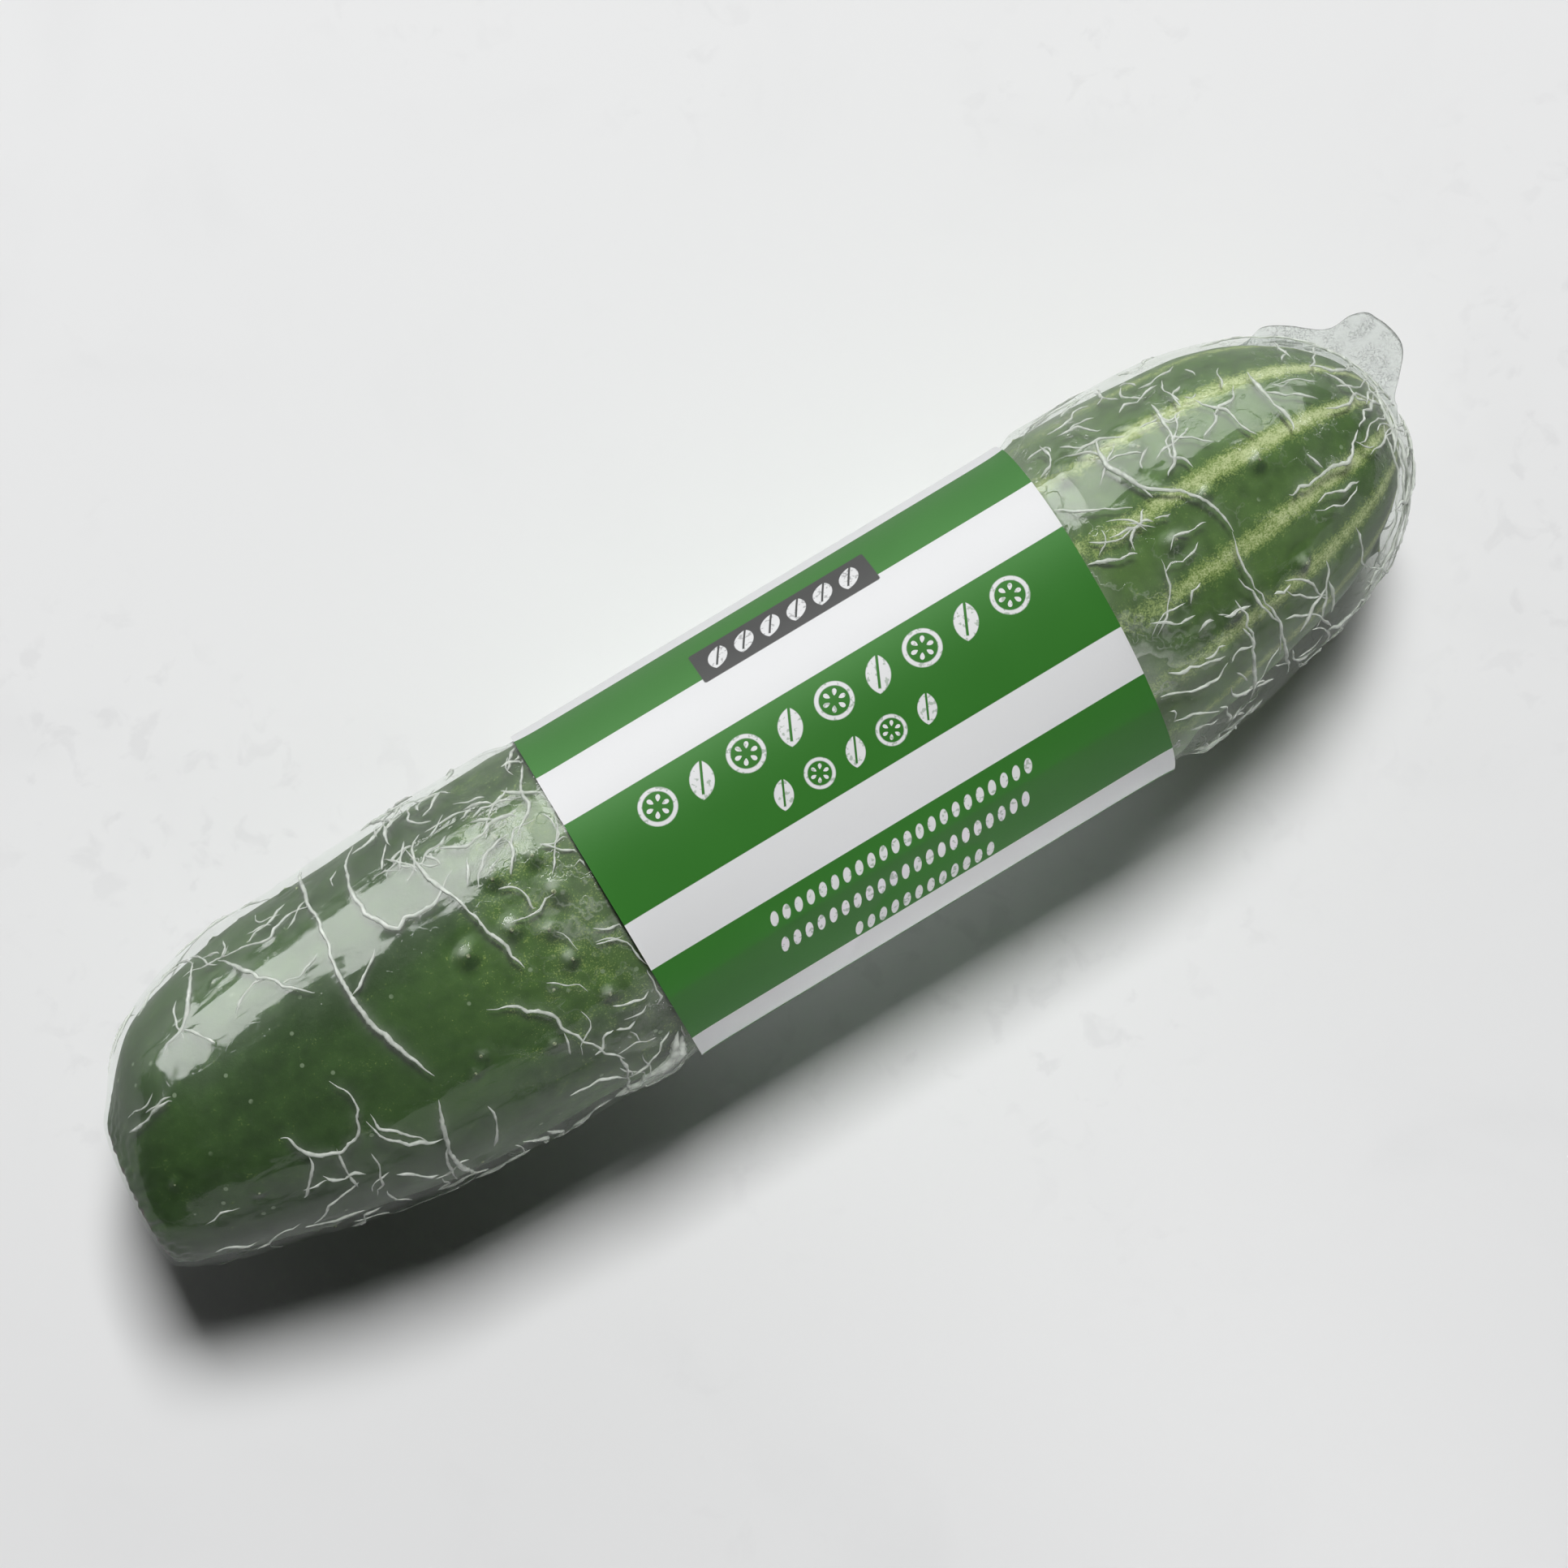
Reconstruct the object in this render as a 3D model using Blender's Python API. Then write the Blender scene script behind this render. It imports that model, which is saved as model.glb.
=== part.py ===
"""A shrink-wrapped cucumber: the fruit, its clear film and the paper sleeve round its middle.

The fruit lies along X with its blossom end towards +X. Z is up, and the origin is at the middle of the
footprint, on the surface that the sleeve rests on. All sizes are in metres.
"""

import math

import bmesh
import bpy

# Lengths along X, measured from the middle of the whole object
OVERALL_LENGTH = 0.2156
STEM_FACE_X = -0.1070
BLOSSOM_TIP_X = 0.1012
THICKEST_X = 0.0335
SLEEVE_LENGTH = 0.0785
SLEEVE_MIDDLE_X = 0.0095

# Radii and wall thicknesses
SLEEVE_RADIUS = 0.026
SLEEVE_WALL = 0.0003
FILM_WALL = 0.0002
GAP = 0.0003
FILM_RADIUS = SLEEVE_RADIUS - SLEEVE_WALL - GAP
STEM_FACE_RADIUS = 0.0086
RIM_ROUNDING = 0.0005
EYE_RADIUS = 0.0045

# Fullness of the two ends: a higher power keeps the fruit thick for longer before it rounds over
BLOSSOM_POWER = 3.4
STEM_POWER = 6.5
STEM_REACH = 0.1450

# How far the film stands off the fruit outside the sleeve, on top of the gap, and how fast it gets there
BLOSSOM_SLACK = 0.0009
STEM_SLACK = 0.0006
SLACK_FADE = 0.010
SLEEVE_CLEARANCE = 0.0015
END_SLACK_SHARE = 0.3

# The stem face leans, and the sleeve's blossom edge is cut askew: shift in X for each metre of Y
STEM_LEAN = 0.09
STEM_LEAN_FADE = 0.012
SLEEVE_SKEW = 0.035

# Three soft lobes run along the fruit outside the sleeve
LOBES = 3
LOBE_DEPTH = 0.014
LOBE_PHASE = math.radians(20)
LOBE_FADE = 0.02

# Sideways sway of the centre line: X, then Y
SWAY = (
    (STEM_FACE_X, -0.0021),
    (-0.1015, -0.0005),
    (-0.094, 0.0007),
    (-0.081, 0.0009),
    (-0.067, 0.0),
    (0.052, 0.0),
    (0.077, 0.0013),
    (BLOSSOM_TIP_X, 0.0016),
)

# Stem scar on the cut face: a shallow dish with a raised stub in it, as radius and depth below the face
SCAR = ((0.0052, 0.0), (0.0040, 0.0006), (0.0026, 0.0005), (0.0020, 0.0001))

# Flat tail of spare film at the blossom end, seen from above: X, then Y, going round it clockwise
TAIL_OUTLINE = (
    (0.0880, 0.0195),
    (0.0906, 0.0208),
    (0.0926, 0.0207),
    (0.0960, 0.0184),
    (0.0997, 0.0159),
    (0.1033, 0.0159),
    (0.1060, 0.0147),
    (OVERALL_LENGTH / 2, 0.0108),
    (0.1072, 0.0075),
    (0.1030, 0.0032),
    (0.1016, 0.0006),
)
TAIL_ROOT = ((0.0950, 0.0010), (0.0850, 0.0120))
TAIL_THICKNESS = 0.0004
TAIL_STEPS = 3

# Facets
SIDES = 48
STEP = 2 * math.pi / SIDES
BLOSSOM_RINGS = 12
STEM_RINGS = 14
SLEEVE_RINGS = 5

# The underside is flat over one facet either side of the lowest line, so that the fruit lies still
AXIS_HEIGHT = SLEEVE_RADIUS * math.cos(STEP)

SKIN_COLOUR = (0.035, 0.085, 0.024, 1.0)
FILM_COLOUR = (0.80, 0.86, 0.80, 1.0)
SLEEVE_COLOUR = (0.045, 0.22, 0.028, 1.0)


def clear_scene():
    """Remove whatever the file already holds."""
    for thing in list(bpy.data.objects):
        bpy.data.objects.remove(thing, do_unlink=True)


def principled(name, colour, roughness, alpha=1.0):
    """Make a plain Principled material."""
    material = bpy.data.materials.new(name)
    material.use_nodes = True
    shader = material.node_tree.nodes["Principled BSDF"]
    shader.inputs["Base Color"].default_value = colour
    shader.inputs["Roughness"].default_value = roughness
    shader.inputs["Metallic"].default_value = 0.0
    shader.inputs["Alpha"].default_value = alpha
    return material


def add_object(name, mesh, material=None):
    """Link a mesh into the scene as one object, with its winding made to point outwards."""
    work = bmesh.new()
    work.from_mesh(mesh)
    bmesh.ops.recalc_face_normals(work, faces=work.faces[:])
    work.to_mesh(mesh)
    work.free()
    mesh.shade_smooth()
    mesh.set_sharp_from_angle(angle=math.radians(35))
    thing = bpy.data.objects.new(name, mesh)
    bpy.context.collection.objects.link(thing)
    if material:
        mesh.materials.append(material)
    return thing


def sway_slope(i):
    """Slope of the centre line at a station: none at the two ends, else that of the line past it."""
    if i in (0, len(SWAY) - 1):
        return 0.0
    (x0, y0), (x1, y1) = SWAY[i - 1], SWAY[i + 1]
    return (y1 - y0) / (x1 - x0)


def sway_at(x):
    """Sideways place of the centre line, on one smooth curve through the stations."""
    for i in range(1, len(SWAY)):
        (x0, y0), (x1, y1) = SWAY[i - 1], SWAY[i]
        if x <= x1:
            span = x1 - x0
            t = min(max((x - x0) / span, 0.0), 1.0)
            start = (1 + 2 * t) * (1 - t) ** 2 * y0 + t * (1 - t) ** 2 * span * sway_slope(i - 1)
            return start + t * t * (3 - 2 * t) * y1 - t * t * (1 - t) * span * sway_slope(i)
    return SWAY[-1][1]


def eased(value):
    """A share held between 0 and 1, eased at both ends."""
    share = min(max(value, 0.0), 1.0)
    return share * share * (3 - 2 * share)


def outside_sleeve(x):
    """Distance along X past the nearer end of the sleeve and its clearance, below zero under it."""
    return abs(x - SLEEVE_MIDDLE_X) - SLEEVE_LENGTH / 2 - SLEEVE_CLEARANCE


def slack_at(x):
    """How far the film stands off the fruit: none under the sleeve, and little at the two ends."""
    side = BLOSSOM_SLACK if x > SLEEVE_MIDDLE_X else STEM_SLACK
    to_end = min(BLOSSOM_TIP_X - x, x - STEM_FACE_X)
    end_share = END_SLACK_SHARE + (1 - END_SLACK_SHARE) * eased(to_end / SLACK_FADE)
    return side * eased(outside_sleeve(x) / SLACK_FADE) * end_share


def outline_at(x):
    """The outline at x before any slack: x, radius, and its outward normal in x and radius."""
    to_blossom = x > THICKEST_X
    reach = BLOSSOM_TIP_X - THICKEST_X if to_blossom else STEM_REACH
    power = BLOSSOM_POWER if to_blossom else STEM_POWER
    along = abs(x - THICKEST_X) / reach
    share = math.sqrt(1 - along**power)
    rise = along ** (power - 1) * power / 2 / reach * (1 if to_blossom else -1)
    fall = share / FILM_RADIUS
    size = math.hypot(rise, fall)
    return (x, FILM_RADIUS * share, rise / size, fall / size)


def end_places(reach, power, last_along, rings):
    """Distances from the thickest place of one end's rings, closer together where the outline rounds over."""
    last_angle = math.asin(last_along ** (power / 2))
    return [reach * math.sin(last_angle * i / rings) ** (2 / power) for i in range(1, rings + 1)]


def wrap_profile():
    """The outline from the last ring short of the blossom tip to the rim of the stem face."""
    rim_along = (THICKEST_X - STEM_FACE_X - RIM_ROUNDING) / STEM_REACH
    blossom = end_places(BLOSSOM_TIP_X - THICKEST_X, BLOSSOM_POWER, 1, BLOSSOM_RINGS)[:-1]
    stem = end_places(STEM_REACH, STEM_POWER, rim_along, STEM_RINGS)
    clear = SLEEVE_LENGTH / 2 + SLEEVE_CLEARANCE
    edges = [SLEEVE_MIDDLE_X + clear, SLEEVE_MIDDLE_X - clear]
    places = [THICKEST_X, *edges, *(THICKEST_X + d for d in blossom), *(THICKEST_X - d for d in stem)]
    return [outline_at(x) for x in sorted(places, reverse=True)]


def ring_points(x, radius, shape_x, skew=0.0):
    """One closed ring round the fruit at x, with the sway, lobing and lean that belong to shape_x."""
    sway = sway_at(shape_x)
    lobing = LOBE_DEPTH * eased(outside_sleeve(shape_x) / LOBE_FADE)
    lean = skew + STEM_LEAN * eased(1 - (shape_x - STEM_FACE_X) / STEM_LEAN_FADE)
    floor = -radius * math.cos(STEP)
    points = []
    for i in range(SIDES):
        angle = i * STEP
        local = radius * (1 - lobing * (1 + math.cos(LOBES * angle + LOBE_PHASE)) / 2)
        y = local * math.cos(angle)
        z = max(local * math.sin(angle), floor)
        points.append((x + lean * y, y + sway, z + AXIS_HEIGHT))
    return points


def wrap_rings(depth, slack_share=0.0):
    """Rings of the fruit's shape sunk by depth, or let out by a share of the slack, blossom end first."""
    rings = []
    for x, radius, normal_x, normal_r in wrap_profile():
        sunk = depth - slack_share * slack_at(x)
        rings.append(ring_points(x - sunk * normal_x, radius - sunk * normal_r, x))
    rim = STEM_FACE_RADIUS - depth * 0.4
    rings.append(ring_points(STEM_FACE_X + depth, rim, STEM_FACE_X))
    return rings


def lofted(name, rings, start, end):
    """A closed skin through rings, each end drawn to a point."""
    work = bmesh.new()
    loops = [[work.verts.new(p) for p in ring] for ring in rings]
    first = work.verts.new(start)
    last = work.verts.new(end)
    for i in range(SIDES):
        j = (i + 1) % SIDES
        work.faces.new((first, loops[0][i], loops[0][j]))
        for near, far in zip(loops, loops[1:]):
            work.faces.new((near[i], far[i], far[j], near[j]))
        work.faces.new((last, loops[-1][j], loops[-1][i]))
    mesh = bpy.data.meshes.new(name)
    work.to_mesh(mesh)
    work.free()
    return mesh


def tip_point(depth, slack_share=0.0):
    """The blossom tip, sunk by depth or let out by a share of the slack."""
    sunk = depth - slack_share * slack_at(BLOSSOM_TIP_X)
    return (BLOSSOM_TIP_X - sunk, sway_at(BLOSSOM_TIP_X), AXIS_HEIGHT)


def stem_point(x):
    """A point on the stem end's centre line."""
    return (x, sway_at(STEM_FACE_X), AXIS_HEIGHT)


def make_fruit():
    """The fruit: one solid with a rounded blossom end and a dished scar on the cut stem face."""
    depth = FILM_WALL + GAP
    face_x = STEM_FACE_X + depth
    rings = wrap_rings(depth)
    for radius, sunk in SCAR:
        rings.append(ring_points(face_x + sunk, radius, STEM_FACE_X))
    mesh = lofted("cucumber", rings, tip_point(depth), stem_point(face_x + SCAR[-1][1]))
    return add_object("cucumber", mesh, principled("skin", SKIN_COLOUR, 0.35))


def curve_through(points, steps):
    """A smooth open curve through points, by Catmull-Rom, with steps pieces between two of them."""
    padded = [points[0], *points, points[-1]]
    curve = []
    for a, b, c, d in zip(padded, padded[1:], padded[2:], padded[3:]):
        for i in range(steps):
            t = i / steps
            weights = (
                -0.5 * t + t**2 - 0.5 * t**3,
                1 - 2.5 * t**2 + 1.5 * t**3,
                0.5 * t + 2 * t**2 - 1.5 * t**3,
                -0.5 * t**2 + 0.5 * t**3,
            )
            curve.append(tuple(sum(w * p[k] for w, p in zip(weights, (a, b, c, d))) for k in (0, 1)))
    return [*curve, points[-1]]


def tail_cutout():
    """The flat tail of spare film, rooted inside the blossom end and joined to the film by a Boolean."""
    outline = [*curve_through(TAIL_OUTLINE, TAIL_STEPS), *TAIL_ROOT]
    work = bmesh.new()
    low = AXIS_HEIGHT - TAIL_THICKNESS / 2
    face = work.faces.new([work.verts.new((x, y, low)) for x, y in outline])
    grown = bmesh.ops.extrude_face_region(work, geom=[face])["geom"]
    top = [v for v in grown if isinstance(v, bmesh.types.BMVert)]
    bmesh.ops.translate(work, verts=top, vec=(0, 0, TAIL_THICKNESS))
    mesh = bpy.data.meshes.new("tail_guide")
    work.to_mesh(mesh)
    work.free()
    return as_guide(add_object("tail_guide", mesh))


def hollow_cutout():
    """The space inside the film, with a neck that opens the eye over the stem scar."""
    rings = wrap_rings(FILM_WALL, slack_share=1.0)
    outside_x = STEM_FACE_X - 10 * FILM_WALL
    rings.append(ring_points(STEM_FACE_X + FILM_WALL, EYE_RADIUS, STEM_FACE_X))
    rings.append(ring_points(outside_x, EYE_RADIUS, STEM_FACE_X))
    mesh = lofted("hollow_guide", rings, tip_point(FILM_WALL, 1.0), stem_point(outside_x))
    return as_guide(add_object("hollow_guide", mesh))


def as_guide(thing):
    """Mark an object as a cutter, so that it isn't part of the model."""
    thing.hide_render = True
    thing.display_type = "WIRE"
    return thing


def combine(thing, operation, guide):
    """Join or cut a solid with a guide."""
    modifier = thing.modifiers.new(f"{operation.lower()} {guide.name}", "BOOLEAN")
    modifier.operation = operation
    modifier.solver = "EXACT"
    modifier.object = guide


def make_film():
    """The shrink film: a thin skin a hair's breadth off the fruit, with its tail and its open eye."""
    rings = wrap_rings(0.0, slack_share=1.0)
    mesh = lofted("shrink_film", rings, tip_point(0.0, 1.0), stem_point(STEM_FACE_X))
    film = add_object("shrink_film", mesh, principled("film", FILM_COLOUR, 0.12, alpha=0.25))
    combine(film, "UNION", tail_cutout())
    combine(film, "DIFFERENCE", hollow_cutout())
    return film


def sleeve_loops(work, radius):
    """Rings of the sleeve's wall at one radius, the last of them askew."""
    loops = []
    for i in range(SLEEVE_RINGS):
        share = i / (SLEEVE_RINGS - 1)
        x = SLEEVE_MIDDLE_X + SLEEVE_LENGTH * (share - 0.5)
        points = ring_points(x, radius, SLEEVE_MIDDLE_X, skew=SLEEVE_SKEW * share)
        loops.append([work.verts.new(p) for p in points])
    return loops


def make_sleeve():
    """The paper sleeve: a plain band open at both ends, flat where it rests."""
    work = bmesh.new()
    outer = sleeve_loops(work, SLEEVE_RADIUS)
    inner = sleeve_loops(work, SLEEVE_RADIUS - SLEEVE_WALL)
    circuit = [*outer, *inner[::-1]]
    for near, far in zip(circuit, [*circuit[1:], circuit[0]]):
        for i in range(SIDES):
            j = (i + 1) % SIDES
            work.faces.new((near[i], far[i], far[j], near[j]))
    mesh = bpy.data.meshes.new("label_sleeve")
    work.to_mesh(mesh)
    work.free()
    return add_object("label_sleeve", mesh, principled("printed_paper", SLEEVE_COLOUR, 0.5))


def main():
    """Build the three pieces."""
    clear_scene()
    make_fruit()
    make_film()
    make_sleeve()


main()
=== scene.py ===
"""The looks of a shrink-wrapped cucumber: the fruit, its clear film, its paper sleeve and a small studio.

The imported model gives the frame: metres, +X towards the blossom end, +Z up. Angles round the fruit are
counted from straight up, and grow towards -Y.
"""

from __future__ import annotations

import logging
import math
from collections.abc import Iterable, Sequence
from dataclasses import dataclass, field
from enum import Enum
from typing import Any

import bpy
import numpy as np
from mathutils import Matrix, Vector
from mathutils.bvhtree import BVHTree
from mathutils.kdtree import KDTree


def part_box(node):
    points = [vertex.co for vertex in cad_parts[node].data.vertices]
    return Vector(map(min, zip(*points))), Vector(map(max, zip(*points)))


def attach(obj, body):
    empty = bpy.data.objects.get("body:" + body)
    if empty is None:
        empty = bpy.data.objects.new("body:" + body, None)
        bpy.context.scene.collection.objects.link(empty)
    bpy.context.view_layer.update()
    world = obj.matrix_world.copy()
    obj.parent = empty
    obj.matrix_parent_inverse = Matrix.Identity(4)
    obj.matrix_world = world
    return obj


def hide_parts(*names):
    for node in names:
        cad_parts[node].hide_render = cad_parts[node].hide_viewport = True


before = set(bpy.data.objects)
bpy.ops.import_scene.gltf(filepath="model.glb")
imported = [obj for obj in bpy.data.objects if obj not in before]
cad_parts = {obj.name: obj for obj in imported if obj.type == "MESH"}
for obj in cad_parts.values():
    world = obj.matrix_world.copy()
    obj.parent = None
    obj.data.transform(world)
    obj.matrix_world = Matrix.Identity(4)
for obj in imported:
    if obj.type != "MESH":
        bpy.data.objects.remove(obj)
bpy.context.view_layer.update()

LOG = logging.getLogger("cucumber")
MM = 0.001
BODY = "root"


class Slot(Enum):
    """Finishes that the record names."""

    SKIN = "skin"
    FILM = "film"
    PAPER = "printed_paper"


# --------------------------------------------------------------------------- shader building


class Value:
    """One output socket of a node tree, on which plain arithmetic adds Math nodes."""

    def __init__(self, graph: Graph, socket: bpy.types.NodeSocket) -> None:
        """Wrap a socket of a graph."""
        self.graph = graph
        self.socket = socket

    def math(self, operation: str, *others: Value | float) -> Value:
        """Pass this value and others through one Math node.

        Args:
            operation: The Math node's operation.
            others: The node's further inputs.

        Returns:
            The node's result.
        """
        inputs = dict(enumerate((self, *others)))
        return self.graph.node("ShaderNodeMath", {"operation": operation}, inputs)

    def __add__(self, other: Value | float) -> Value:
        """Sum."""
        return self.math("ADD", other)

    __radd__ = __add__

    def __mul__(self, other: Value | float) -> Value:
        """Product."""
        return self.math("MULTIPLY", other)

    __rmul__ = __mul__

    def __sub__(self, other: Value | float) -> Value:
        """Difference."""
        return self.math("SUBTRACT", other)

    def __rsub__(self, other: float) -> Value:
        """Reflected difference."""
        return (self * -1.0) + other

    def __truediv__(self, other: Value | float) -> Value:
        """Quotient."""
        return self.math("DIVIDE", other)

    def step(self, low: float, high: float) -> Value:
        """Ease from 0 at low to 1 at high, or the other way round where high is the smaller."""
        inputs = {"Value": self, "From Min": low, "From Max": high}
        return self.graph.node("ShaderNodeMapRange", {"interpolation_type": "SMOOTHSTEP"}, inputs)


class Graph:
    """The node tree of one material."""

    def __init__(self, name: str) -> None:
        """Make an empty material with the given name."""
        self.material = bpy.data.materials.new(name)
        self.material.use_nodes = True
        self.tree = self.material.node_tree
        self.tree.nodes.clear()

    def node(
        self,
        kind: str,
        settings: dict[str, Any] | None = None,
        inputs: dict[str | int, Any] | None = None,
        output: str | int = 0,
    ) -> Value:
        """Add one node.

        Args:
            kind: The node's type.
            settings: Its own properties, set first.
            inputs: Values or links of its sockets, by name or number.
            output: The output to return.

        Returns:
            The chosen output as a value.
        """
        node = self.tree.nodes.new(kind)
        for key, setting in (settings or {}).items():
            setattr(node, key, setting)
        for key, given in (inputs or {}).items():
            if isinstance(given, Value):
                self.tree.links.new(given.socket, node.inputs[key])
            else:
                node.inputs[key].default_value = given
        return Value(self, node.outputs[output])

    def position(self) -> Value:
        """The place on the piece, in object coordinates."""
        return self.node("ShaderNodeTexCoord", output="Object")

    def attribute(self, name: str) -> Value:
        """A number that the mesh carries on its points."""
        return self.node("ShaderNodeAttribute", {"attribute_name": name}, output="Fac")

    def axes(self, vector: Value) -> tuple[Value, Value, Value]:
        """The three parts of a vector."""
        split = self.node("ShaderNodeSeparateXYZ", inputs={0: vector})
        node = split.socket.node
        return (split, Value(self, node.outputs[1]), Value(self, node.outputs[2]))

    def stretched(self, vector: Value, scale: tuple[float, float, float]) -> Value:
        """A vector scaled along its axes."""
        return self.node("ShaderNodeMapping", inputs={"Vector": vector, "Scale": scale})

    def noise(self, vector: Value, scale: float, detail: float = 2.0, distortion: float = 0.0) -> Value:
        """Soft noise between 0 and 1."""
        inputs = {"Vector": vector, "Scale": scale, "Detail": detail, "Distortion": distortion}
        return self.node("ShaderNodeTexNoise", inputs=inputs)

    def cells(self, vector: Value, scale: float, feature: str = "F1") -> Value:
        """Distance in a pattern of random cells."""
        inputs = {"Vector": vector, "Scale": scale}
        return self.node("ShaderNodeTexVoronoi", {"feature": feature}, inputs, output="Distance")

    def blend(self, share: Value | float, first: Any, second: Any) -> Value:
        """A colour between two, by a share."""
        inputs = {0: share, 6: as_colour(first), 7: as_colour(second)}
        return self.node("ShaderNodeMix", {"data_type": "RGBA"}, inputs, output=2)

    def bump(self, height: Value, distance: float, strength: float = 1.0) -> Value:
        """Normals tilted by a height, in metres of distance."""
        inputs = {"Height": height, "Distance": distance, "Strength": strength}
        return self.node("ShaderNodeBump", inputs=inputs, output="Normal")

    def principled(self, inputs: dict[str | int, Any]) -> Value:
        """A Principled shader."""
        return self.node("ShaderNodeBsdfPrincipled", inputs=inputs)

    def mix_shaders(self, share: Value | float, first: Value, second: Value) -> Value:
        """Two shaders mixed by a share of the second."""
        return self.node("ShaderNodeMixShader", inputs={0: share, 1: first, 2: second})

    def finish(self, surface: Value) -> bpy.types.Material:
        """Connect the surface to an output node and return the material."""
        node = self.tree.nodes.new("ShaderNodeOutputMaterial")
        self.tree.links.new(surface.socket, node.inputs["Surface"])
        return self.material


def as_colour(given: Any) -> Any:
    """A colour with an alpha of 1, or a value as it is."""
    return given if isinstance(given, Value) else (*given[:3], 1.0)


# --------------------------------------------------------------------------- shared shape


def eased(value: np.ndarray | float) -> np.ndarray:
    """Hold a share between 0 and 1, eased at both ends."""
    share = np.clip(value, 0.0, 1.0)
    return share * share * (3 - 2 * share)


def wrapped(angle: np.ndarray) -> np.ndarray:
    """Bring angles into the half turn either side of zero."""
    return (angle + math.pi) % (2 * math.pi) - math.pi


@dataclass(frozen=True)
class Waves:
    """Smooth seeded noise in space: a sum of plane waves of about one length.

    Attributes:
        length: The waves' length in metres.
        seed: Seed of their directions.
        count: How many are summed.
    """

    length: float
    seed: int
    count: int = 14

    def at(self, points: np.ndarray) -> np.ndarray:
        """Sample the noise, which mostly stays between -1 and 1."""
        draw = np.random.default_rng(self.seed)
        heading = draw.normal(size=(self.count, 3))
        heading /= np.linalg.norm(heading, axis=1, keepdims=True)
        pace = 2 * math.pi / (self.length * draw.uniform(0.7, 1.4, self.count))
        phase = draw.uniform(0, 2 * math.pi, self.count)
        total = sum(np.cos(points @ (h * k) + p) for h, k, p in zip(heading, pace, phase))
        return total / math.sqrt(self.count)


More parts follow.
